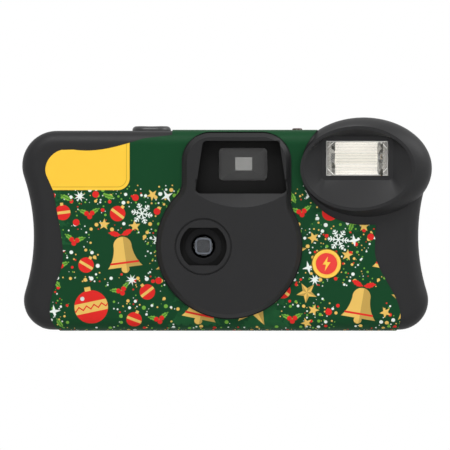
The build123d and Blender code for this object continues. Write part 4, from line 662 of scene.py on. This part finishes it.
def cover_plastic(name, colour):
    """The covers' plastic, with painted shade, near black, inside the viewfinder recess and the lens
    opening.
    """
    shade_start, finder_margin, lens_margin = 0.25 * MM, 0.12 * MM, 0.1 * MM
    finder_middle, finder_half = (FINDER_TOP + FINDER_BOTTOM) / 2, (FINDER_TOP - FINDER_BOTTOM) / 2
    flare = (FINDER_BOTTOM_WIDTH - FINDER_TOP_WIDTH) / (4 * finder_half)
    s = Shader(name)
    cloud = s.noise(90.0, 3.0)
    fine = s.noise(2600.0)
    x, y, z = s.split(s.place())
    inner = (y > BEZEL_FRONT + shade_start) * (y < 0.0)
    half_width = FINDER_TOP_WIDTH / 2 + (FINDER_TOP - z) * flare
    beside = abs(x - FINDER_X) < half_width + finder_margin
    recess = beside * (abs(z - finder_middle) < finder_half + finder_margin)
    opening = s.length(x - LENS_X, z - LENS_Z) < LENS_OPENING + lens_margin
    # Painted shade: near black inside the viewfinder recess and the lens opening.
    dark = s.math("MAXIMUM", recess, opening) * inner
    s.keep("Specular IOR Level", 0.22)
    s.set(Base_Color=s.mix(dark, s.mix(cloud, shade(colour, 0.92), shade(colour, 1.08)), rgb(4, 4, 4)),
          Roughness=0.44 + 0.08 * cloud + 0.05 * fine + 0.3 * dark)
    s.bump(fine, 0.02 * MM, 0.6)
    return s.material


def give(node, material):
    """Gives a CAD node one material in all its slots."""
    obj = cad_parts[node]
    if not obj.material_slots:
        obj.data.materials.append(material)
    for material_slot in obj.material_slots:
        material_slot.material = material


def new_piece(name, vertices, faces, materials, face_materials=None):
    """A mesh object at the origin."""
    mesh = bpy.data.meshes.new(name)
    mesh.from_pydata(vertices, [], faces)
    for material in materials:
        mesh.materials.append(material)
    if face_materials:
        mesh.polygons.foreach_set("material_index", face_materials)
    mesh.update()
    piece = bpy.data.objects.new(name, mesh)
    bpy.context.scene.collection.objects.link(piece)
    return piece


def unrolled(corner, centre):
    """Place on the unrolled sleeve in millimetres: the front, the top, the base or the back."""
    x, y, z = corner
    front, base = SLEEVE_LOW[1] + FRONT_RIM, SLEEVE_LOW[2] + FRONT_RIM
    top = SLEEVE_HIGH[2] - FRONT_RIM
    if centre.y > SLEEVE_HIGH[1] - BACK_RIM:
        back, low, high = SLEEVE_HIGH[1] - BACK_RIM, SLEEVE_LOW[2] + BACK_RIM, SLEEVE_HIGH[2] - BACK_RIM
        if z > high:
            z = high + BACK_RIM * math.atan2(z - high, y - back)
        elif z < low:
            z = low - BACK_RIM * math.atan2(low - z, y - back)
        return (BACK_SHIFT - x) / MM, z / MM
    if centre.z > top:
        if y < front:
            return x / MM, (top + FRONT_RIM * math.atan2(z - top, front - y)) / MM
        return x / MM, (top + FRONT_RIM * math.pi / 2 + y - front) / MM
    if centre.z < base:
        if y < front:
            return x / MM, (base - FRONT_RIM * math.atan2(base - z, front - y)) / MM
        return x / MM, (base - FRONT_RIM * math.pi / 2 - y + front) / MM
    return x / MM, z / MM


def camera_settings():
    return bpy.context.scene.film_camera_looks


def colour_choice(name, description, default):
    return bpy.props.FloatVectorProperty(
        name=name, description=description, subtype="COLOR", size=3, default=default[:3])


class FilmCameraLooks(bpy.types.PropertyGroup):
    """Colours and small sizes that a user would change."""
    body_colour: colour_choice("Body", "Colour of the two covers", rgb(30, 30, 31))
    dark_green: colour_choice("Dark green", "Ground of the print", rgb(10, 60, 31))
    mid_green: colour_choice("Mid green", "Soft shapes of the print", rgb(30, 88, 48))
    light_green: colour_choice("Light green", "Leaves and trees of the print", rgb(112, 168, 62))
    berry_red: colour_choice("Red", "Baubles and berries of the print", rgb(214, 40, 36))
    gold: colour_choice("Gold", "Stars and bands of the print", rgb(226, 186, 96))
    snow_white: colour_choice("White", "Snowflakes and dots of the print", rgb(226, 234, 228))
    label: colour_choice("Label", "Plain field in the sleeve's upper corner", rgb(244, 196, 62))
    button_red: colour_choice("Button", "Middle of the charge button", rgb(224, 44, 34))
    button_gold: colour_choice("Button ring", "Ring and flash sign of the charge button", rgb(244, 196, 66))
    number_height: bpy.props.FloatProperty(
        name="Number height", description="Height of the numbers on the counter dial", unit="LENGTH",
        default=1.5 * MM)
    mark_length: bpy.props.FloatProperty(
        name="Mark length", description="Length of the marks round the counter dial", unit="LENGTH",
        default=0.45 * MM)


class FILMCAMERA_OT_covers(bpy.types.Operator):
    """Finishes of the two covers, the doors and the shutter button"""
    bl_idname = "filmcamera.covers"
    bl_label = "Covers"

    def execute(self, context):
        settings = camera_settings()
        colour = opaque(settings.body_colour)
        body = cover_plastic("charcoal_plastic", colour)
        for node in ("front_cover", "rear_cover", "film_door", "battery_door"):
            give(node, body)
        give("shutter_button", moulded_plastic("button_plastic", shade(colour, 1.4), 0.4))
        return {"FINISHED"}


class FILMCAMERA_OT_inner_finishes(bpy.types.Operator):
    """Finishes of the pieces inside the covers"""
    bl_idname = "filmcamera.inner_finishes"
    bl_label = "Inner finishes"

    def execute(self, context):
        black = moulded_plastic("black_plastic", rgb(17, 17, 18), 0.75, 0.2)
        give("aperture_plate", stopped_plate("aperture_black"))
        for node in ("main_frame", "lens_ring", "mechanism_keeper", "ratchet_pawl",
                     "striker_lever", "metering_lever", "cassette_spool", "film_spool"):
            give(node, black)
        give("thumbwheel", moulded_plastic("wheel_plastic", rgb(26, 26, 27), 0.42))
        white = moulded_plastic("white_plastic", rgb(222, 221, 214), 0.45)
        for node in ("sprocket", "counter_dial"):
            give(node, white)
        sheet = sheet_metal("nickel_sheet", rgb(196, 194, 188), 0.25, (1.0, 1.0, 8.0))
        for node in ("battery_contacts", "flash_contact", "striker_spring"):
            give(node, sheet)
        give("shutter_blade", sheet_metal("blackened_sheet", rgb(60, 60, 62), 0.4))
        film = film_base("film_base")
        for node in ("film_strip", "film_roll", "exposed_film"):
            give(node, film)
        give("cassette_shell", lacquer("cassette_lacquer", rgb(226, 176, 40), 0.25))
        give("cassette_caps", lacquer("cap_lacquer", rgb(28, 28, 30), 0.3))
        give("light_trap_felt", felt("light_trap_felt"))
        give("battery", cell_jacket("cell_jacket"))
        give("circuit_board", resin_board("resin_board"))
        give("flash_capacitor", lacquer("capacitor_jacket", rgb(24, 26, 34), 0.2))
        give("transformer", lacquer("transformer_tape", rgb(150, 120, 40), 0.35))
        give("trigger_coil", wound_wire("wound_wire"))
        return {"FINISHED"}


class FILMCAMERA_OT_optics(bpy.types.Operator):
    """Finishes of the lenses, the windows, the flash and the lamp"""
    bl_idname = "filmcamera.optics"
    bl_label = "Optics and flash"

    def execute(self, context):
        smoked = clear_plastic("finder_plastic", (0.5, 0.5, 0.49, 1.0))
        for node in ("finder_front_lens", "finder_eyepiece"):
            give(node, smoked)
        give("counter_window", clear_plastic("clear_plastic", (0.97, 0.98, 0.98, 1.0)))
        give("taking_lens", clear_plastic("lens_plastic", (0.6, 0.64, 0.7, 1.0)))
        give("flash_window", ribbed_clear("flash_window_plastic"))
        give("flash_tube", clear_plastic("tube_glass", (0.95, 0.95, 0.92, 1.0)))
        give("flash_reflector", reflector_white("reflector_white"))
        give("ready_lamp", lacquer("lamp_plastic", rgb(58, 24, 18), 0.2))
        return {"FINISHED"}


class FILMCAMERA_OT_sleeve(bpy.types.Operator):
    """The sleeve with its print, unrolled so that the pattern runs over the rims"""
    bl_idname = "filmcamera.sleeve"
    bl_label = "Printed sleeve"

    def execute(self, context):
        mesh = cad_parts["printed_sleeve"].data.copy()
        mesh.name = "sleeve_wrap"
        wrap = bmesh.new()
        wrap.from_mesh(mesh)
        bmesh.ops.remove_doubles(wrap, verts=wrap.verts, dist=WELD)
        layer = wrap.loops.layers.uv.new("unrolled")
        for face in wrap.faces:
            face.smooth = False
            centre = face.calc_center_median()
            for loop in face.loops:
                loop[layer].uv = unrolled(loop.vert.co, centre)
        wrap.to_mesh(mesh)
        wrap.free()
        mesh.materials.clear()
        mesh.materials.append(printed_card("printed_card", camera_settings()))
        piece = bpy.data.objects.new("sleeve_wrap", mesh)
        context.scene.collection.objects.link(piece)
        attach(piece, "camera_body")
        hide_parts("printed_sleeve")
        return {"FINISHED"}


class FILMCAMERA_OT_charge_button(bpy.types.Operator):
    """The charge button's rings and its raised flash sign"""
    bl_idname = "filmcamera.charge_button"
    bl_label = "Charge button"

    def execute(self, context):
        settings = camera_settings()
        give("flash_button", ringed_button("ringed_button", settings))
        sunk, raised, bevel = 0.1 * MM, 0.08 * MM, 0.03 * MM
        (x, y, z), half = middle_and_half("flash_button")
        face = y - half[1]
        outline = [(0.35, 2.1), (-1.15, -0.25), (-0.2, -0.25), (-0.55, -2.1), (1.15, 0.45), (0.15, 0.45)]
        vertices = [(x + right * MM, face + depth, z + up * MM)
                    for depth in (sunk, -raised) for right, up in outline]
        count = len(outline)
        faces = [tuple(range(count)), tuple(reversed(range(count, 2 * count)))]
        faces += [(i, (i + 1) % count, (i + 1) % count + count, i + count) for i in range(count)]
        sign = new_piece("flash_sign", vertices, faces,
                         [lacquer("sign_gold", opaque(settings.button_gold), 0.3)])
        shape = bmesh.new()
        shape.from_mesh(sign.data)
        bmesh.ops.recalc_face_normals(shape, faces=shape.faces)
        bmesh.ops.bevel(shape, geom=shape.edges, offset=bevel, segments=1, affect="EDGES")
        shape.to_mesh(sign.data)
        shape.free()
        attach(sign, "flash_button")
        return {"FINISHED"}


def grown(name, tree, values):
    """Plain mesh object from a node tree that starts from nothing."""
    piece = new_piece(name, [], [], [])
    modifier = piece.modifiers.new(name, "NODES")
    modifier.node_group = tree
    for item in tree.interface.items_tree:
        if item.item_type == "SOCKET" and item.in_out == "INPUT":
            modifier[item.identifier] = values[item.name]
    graph = bpy.context.evaluated_depsgraph_get()
    mesh = bpy.data.meshes.new_from_object(piece.evaluated_get(graph), depsgraph=graph)
    mesh.name = name
    piece.modifiers.clear()
    piece.data = mesh
    return piece


class Growth:
    """Geometry node tree, built node by node."""

    def __init__(self, name, inputs):
        self.tree = bpy.data.node_groups.new(name, "GeometryNodeTree")
        self.tree.interface.new_socket(name="Geometry", in_out="OUTPUT", socket_type="NodeSocketGeometry")
        for label, kind in inputs:
            self.tree.interface.new_socket(name=label, in_out="INPUT", socket_type="NodeSocket" + kind)
        self.given = self.tree.nodes.new("NodeGroupInput").outputs

    def make(self, kind, values=None, settings=None, output=0):
        """Adds a node with its settings and its sockets' values or links, and gives one of its outputs."""
        node = self.tree.nodes.new(kind)
        for name, setting in (settings or {}).items():
            setattr(node, name, setting)
        for key, value in (values or {}).items():
            if isinstance(value, bpy.types.NodeSocket):
                self.tree.links.new(value, node.inputs[key])
            else:
                node.inputs[key].default_value = value
        return node.outputs[output]

    def size(self, x, y, z):
        return self.make("ShaderNodeCombineXYZ", {0: x, 1: y, 2: z})

    def finish(self, instances):
        """Turns the instances into one mesh with its material, and gives the tree."""
        solid = self.make("GeometryNodeRealizeInstances", {0: instances})
        dressed = self.make("GeometryNodeSetMaterial", {0: solid, "Material": self.given["Material"]})
        self.tree.links.new(dressed, self.tree.nodes.new("NodeGroupOutput").inputs[0])
        return self.tree


def ring_marks():
    """Bars in a ring, each along its own radius."""
    g = Growth("ring_marks", (
        ("Count", "Int"), ("Radius", "Float"), ("Length", "Float"), ("Width", "Float"),
        ("Thickness", "Float"), ("Centre", "Vector"), ("Material", "Material")))
    ring = g.make("GeometryNodeMeshCircle", {"Vertices": g.given["Count"], "Radius": g.given["Radius"]})
    size = g.size(g.given["Length"], g.given["Width"], g.given["Thickness"])
    bar = g.make("GeometryNodeMeshCube", {"Size": size})
    outward = g.make("FunctionNodeAlignRotationToVector", {"Vector": g.make("GeometryNodeInputPosition")},
                     {"axis": "X"})
    bars = g.make("GeometryNodeInstanceOnPoints", {"Points": ring, "Instance": bar, "Rotation": outward})
    return g.finish(g.make("GeometryNodeTransform", {"Geometry": bars, "Translation": g.given["Centre"]}))


def joint_rows():
    """Solder joints: low domes on an upright grid, some left out by chance."""
    g = Growth("joint_rows", (
        ("Width", "Float"), ("Height", "Float"), ("Across", "Int"), ("Up", "Int"), ("Radius", "Float"),
        ("Share", "Float"), ("Seed", "Int"), ("Centre", "Vector"), ("Material", "Material")))
    grid = g.make("GeometryNodeMeshGrid", {
        "Size X": g.given["Width"], "Size Y": g.given["Height"], "Vertices X": g.given["Across"],
        "Vertices Y": g.given["Up"]})
    dome = g.make("GeometryNodeMeshIcoSphere", {"Radius": g.given["Radius"], "Subdivisions": 2})
    kept = g.make("FunctionNodeRandomValue", {"Probability": g.given["Share"], "Seed": g.given["Seed"]},
                  {"data_type": "BOOLEAN"}, 3)
    domes = g.make("GeometryNodeInstanceOnPoints", {
        "Points": grid, "Selection": kept, "Instance": dome, "Scale": (1.0, 1.0, 0.45)})
    return g.finish(g.make("GeometryNodeTransform", {
        "Geometry": domes, "Translation": g.given["Centre"], "Rotation": (math.pi / 2, 0.0, 0.0)}))


class FILMCAMERA_OT_counter(bpy.types.Operator):
    """The marks and the plain numbers on the counter dial"""
    bl_idname = "filmcamera.counter"
    bl_label = "Counter dial"

    def execute(self, context):
        number_count, number_step, number_foot = 10, 3, 6.2 * MM
        cap_height_share, thickness = 0.7, 0.06 * MM
        settings = camera_settings()
        ink = lacquer("dial_ink", rgb(24, 24, 26), 0.4)
        (x, y, middle_z), half = middle_and_half("counter_dial")
        top = Vector((x, y, middle_z + half[2]))
        marks = grown("dial_marks", ring_marks(), {
            "Count": number_count * number_step, "Radius": 7.1 * MM, "Length": settings.mark_length,
            "Width": 0.16 * MM, "Thickness": thickness, "Centre": top, "Material": ink})
        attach(marks, "counter_dial")
        vertices, faces = [], []
        window, _ = middle_and_half("counter_window")
        start = math.atan2(window[1] - y, window[0] - x)
        for index in range(number_count):
            curve = bpy.data.curves.new("number", "FONT")
            curve.body = str(number_step * (number_count - 1 - index))
            curve.size = settings.number_height / cap_height_share
            curve.align_x = "CENTER"
            curve.extrude = thickness / 2
            text = bpy.data.objects.new("number", curve)
            context.scene.collection.objects.link(text)
            graph = context.evaluated_depsgraph_get()
            mesh = bpy.data.meshes.new_from_object(text.evaluated_get(graph), depsgraph=graph)
            bpy.data.objects.remove(text)
            angle = start + index * math.tau / number_count
            radial = Vector((math.cos(angle), math.sin(angle), 0.0))
            along = Vector((-math.sin(angle), math.cos(angle), 0.0))
            first = len(vertices)
            foot = top + radial * (number_foot + settings.number_height / 2)
            for vertex in mesh.vertices:
                across, up, out = vertex.co
                vertices.append(foot + along * across - radial * up + Vector((0, 0, out)))
            faces += [[first + corner for corner in face.vertices] for face in mesh.polygons]
        numbers = new_piece("dial_numbers", vertices, faces, [ink])
        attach(numbers, "counter_dial")
        return {"FINISHED"}


class FILMCAMERA_OT_board(bpy.types.Operator):
    """Solder joints and small parts on the circuit board"""
    bl_idname = "filmcamera.board"
    bl_label = "Circuit board"

    def execute(self, context):
        low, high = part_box("circuit_board")
        solder = sheet_metal("solder", rgb(200, 202, 205), 0.3)
        joints = grown("solder_joints", joint_rows(), {
            "Width": 25.0 * MM, "Height": 31.0 * MM, "Across": 9, "Up": 11, "Radius": 0.55 * MM,
            "Share": 0.45, "Seed": 4, "Centre": (25.0 * MM, high[1], 23.0 * MM), "Material": solder})
        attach(joints, "camera_body")
        axis = low[1] - 0.95 * MM
        places = ((13.5, 12.0), (13.5, 22.0), (17.5, 34.0), (21.5, 10.0), (36.0, 30.0), (36.0, 12.0))
        # Start, end, radius and material of the wire, the body and its three bands
        rods = ((-3.6, 3.6, 0.25, 1), (-2.4, 2.4, 0.85, 0), (-1.5, -1.1, 0.89, 2), (-0.5, -0.1, 0.89, 3),
                (0.5, 0.9, 0.89, 2))
        shape = bmesh.new()
        face_materials = []
        for x, z in places:
            for start, end, radius, material_index in rods:
                rod = bmesh.ops.create_cone(
                    shape, cap_ends=True, segments=20, radius1=radius * MM, radius2=radius * MM,
                    depth=(end - start) * MM)
                middle = (x * MM, axis, (z + (start + end) / 2) * MM)
                bmesh.ops.translate(shape, verts=rod["verts"], vec=middle)
                face_materials += [material_index] * (len(shape.faces) - len(face_materials))
        mesh = bpy.data.meshes.new("board_resistors")
        shape.to_mesh(mesh)
        shape.free()
        mesh.materials.append(lacquer("resistor_body", rgb(214, 190, 140), 0.35))
        mesh.materials.append(sheet_metal("lead_wire", rgb(205, 200, 190), 0.3))
        mesh.materials.append(lacquer("brown_band", rgb(110, 60, 34), 0.35))
        mesh.materials.append(lacquer("red_band", rgb(190, 40, 34), 0.35))
        mesh.polygons.foreach_set("material_index", face_materials)
        resistors = bpy.data.objects.new("board_resistors", mesh)
        context.scene.collection.objects.link(resistors)
        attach(resistors, "camera_body")
        return {"FINISHED"}


class FILMCAMERA_OT_stage(bpy.types.Operator):
    """Floor, white surroundings, lamps and the photograph's viewpoint"""
    bl_idname = "filmcamera.stage"
    bl_label = "Stage"

    def execute(self, context):
        scene = context.scene
        self.lay_floor()
        self.light_world(scene)
        self.hang_lamps(scene)
        self.place_camera(scene)
        scene.view_settings.view_transform = "Standard"
        return {"FINISHED"}

    def lay_floor(self):
        """White floor, which camera rays see at full white from above and not at all from below."""
        reach = 3.0
        white = Shader("stage_white")
        white.set(Base_Color=(0.86, 0.86, 0.86, 1.0), Roughness=0.9)
        seen = white.make("ShaderNodeLightPath")
        glow = white.make("ShaderNodeEmission", {"Color": (1.0, 1.0, 1.0, 1.0), "Strength": 1.0})
        surface = Value(white, white.surface.outputs[0])
        mixed = white.make("ShaderNodeMixShader", {0: seen, 1: surface, 2: glow})
        below = white.make("ShaderNodeNewGeometry", output=6)
        clear = white.make("ShaderNodeBsdfTransparent")
        sided = white.make("ShaderNodeMixShader", {0: below, 1: mixed, 2: clear})
        white.tree.links.new(sided.socket, white.tree.nodes["Material Output"].inputs[0])
        corners = [(-reach, -reach, 0), (reach, -reach, 0), (reach, reach, 0), (-reach, reach, 0)]
        floor = new_piece("floor", corners, [(0, 1, 2, 3)], [white.material])
        floor.visible_glossy = False
        floor.visible_transmission = False

    def light_world(self, scene):
        """White all round, dimmer for the light that it throws than for what is seen of it."""
        thrown, seen = 0.16, 1.0
        world = scene.world or bpy.data.worlds.new("soft_room")
        scene.world = world
        world.use_nodes = True
        tree = world.node_tree
        tree.nodes.clear()
        light_path = tree.nodes.new("ShaderNodeLightPath")
        strength = tree.nodes.new("ShaderNodeMapRange")
        strength.inputs["To Min"].default_value = thrown
        strength.inputs["To Max"].default_value = seen
        shown = light_path.outputs["Is Camera Ray"]
        for ray in ("Is Glossy Ray", "Is Transmission Ray"):
            either = tree.nodes.new("ShaderNodeMath")
            either.operation = "MAXIMUM"
            tree.links.new(shown, either.inputs[0])
            tree.links.new(light_path.outputs[ray], either.inputs[1])
            shown = either.outputs[0]
        tree.links.new(shown, strength.inputs["Value"])
        background = tree.nodes.new("ShaderNodeBackground")
        background.inputs["Color"].default_value = (1.0, 1.0, 1.0, 1.0)
        tree.links.new(strength.outputs["Result"], background.inputs["Strength"])
        output = tree.nodes.new("ShaderNodeOutputWorld")
        tree.links.new(background.outputs[0], output.inputs[0])

    def hang_lamps(self, scene):
        """Three soft panels. The fill isn't mirrored in what is glossy or clear."""
        aim = Vector((0, 0, 0.03))
        for name, place, size, power, mirrored in (
                ("key_panel", (-0.15, -0.65, 0.95), 0.45, 7.5, True),
                ("side_panel", (0.8, -0.12, 0.62), 0.5, 5.0, True),
                ("fill_panel", (0.15, -0.95, 0.05), 0.6, 4.0, False)):
            data = bpy.data.lights.new(name, "AREA")
            data.size = size
            data.energy = power
            lamp = bpy.data.objects.new(name, data)
            lamp.location = place
            lamp.visible_glossy = mirrored
            lamp.visible_transmission = mirrored
            lamp.rotation_euler = (aim - Vector(place)).to_track_quat("-Z", "Y").to_euler()
            scene.collection.objects.link(lamp)

    def place_camera(self, scene):
        """The photograph's viewpoint, almost level and straight from the front."""
        view = bpy.data.cameras.new("photograph_view")
        distance = 0.75
        elevation = math.radians(1.5)
        target = Vector((-0.3 * MM, -14.9 * MM, 30.6 * MM))
        view.lens = view.sensor_width * distance / (PICTURE * PIXEL)
        viewer = bpy.data.objects.new("photograph_view", view)
        viewer.location = target + distance * Vector((0.0, -math.cos(elevation), math.sin(elevation)))
        viewer.rotation_euler = (target - viewer.location).to_track_quat("-Z", "Y").to_euler()
        scene.collection.objects.link(viewer)
        scene.camera = viewer


OPERATORS = (
    FILMCAMERA_OT_stage,
    FILMCAMERA_OT_covers,
    FILMCAMERA_OT_inner_finishes,
    FILMCAMERA_OT_optics,
    FILMCAMERA_OT_sleeve,
    FILMCAMERA_OT_charge_button,
    FILMCAMERA_OT_counter,
    FILMCAMERA_OT_board,
)


class FILMCAMERA_PT_looks(bpy.types.Panel):
    """Lists the steps that dress the camera"""
    bl_idname = "FILMCAMERA_PT_looks"
    bl_label = "Disposable film camera"
    bl_space_type = "VIEW_3D"
    bl_region_type = "UI"
    bl_category = "Camera"

    def draw(self, context):
        for operator in OPERATORS:
            self.layout.operator(operator.bl_idname)
        for name in FilmCameraLooks.__annotations__:
            self.layout.prop(context.scene.film_camera_looks, name)


def register():
    bpy.utils.register_class(FilmCameraLooks)
    bpy.types.Scene.film_camera_looks = bpy.props.PointerProperty(type=FilmCameraLooks)
    for operator in OPERATORS:
        bpy.utils.register_class(operator)
    bpy.utils.register_class(FILMCAMERA_PT_looks)


def unregister():
    bpy.utils.unregister_class(FILMCAMERA_PT_looks)
    for operator in reversed(OPERATORS):
        bpy.utils.unregister_class(operator)
    del bpy.types.Scene.film_camera_looks
    bpy.utils.unregister_class(FilmCameraLooks)


def main():
    register()
    bpy.ops.filmcamera.stage()
    bpy.ops.filmcamera.covers()
    bpy.ops.filmcamera.inner_finishes()
    bpy.ops.filmcamera.optics()
    bpy.ops.filmcamera.sleeve()
    bpy.ops.filmcamera.charge_button()
    bpy.ops.filmcamera.counter()
    bpy.ops.filmcamera.board()


if __name__ == "__main__":
    main()
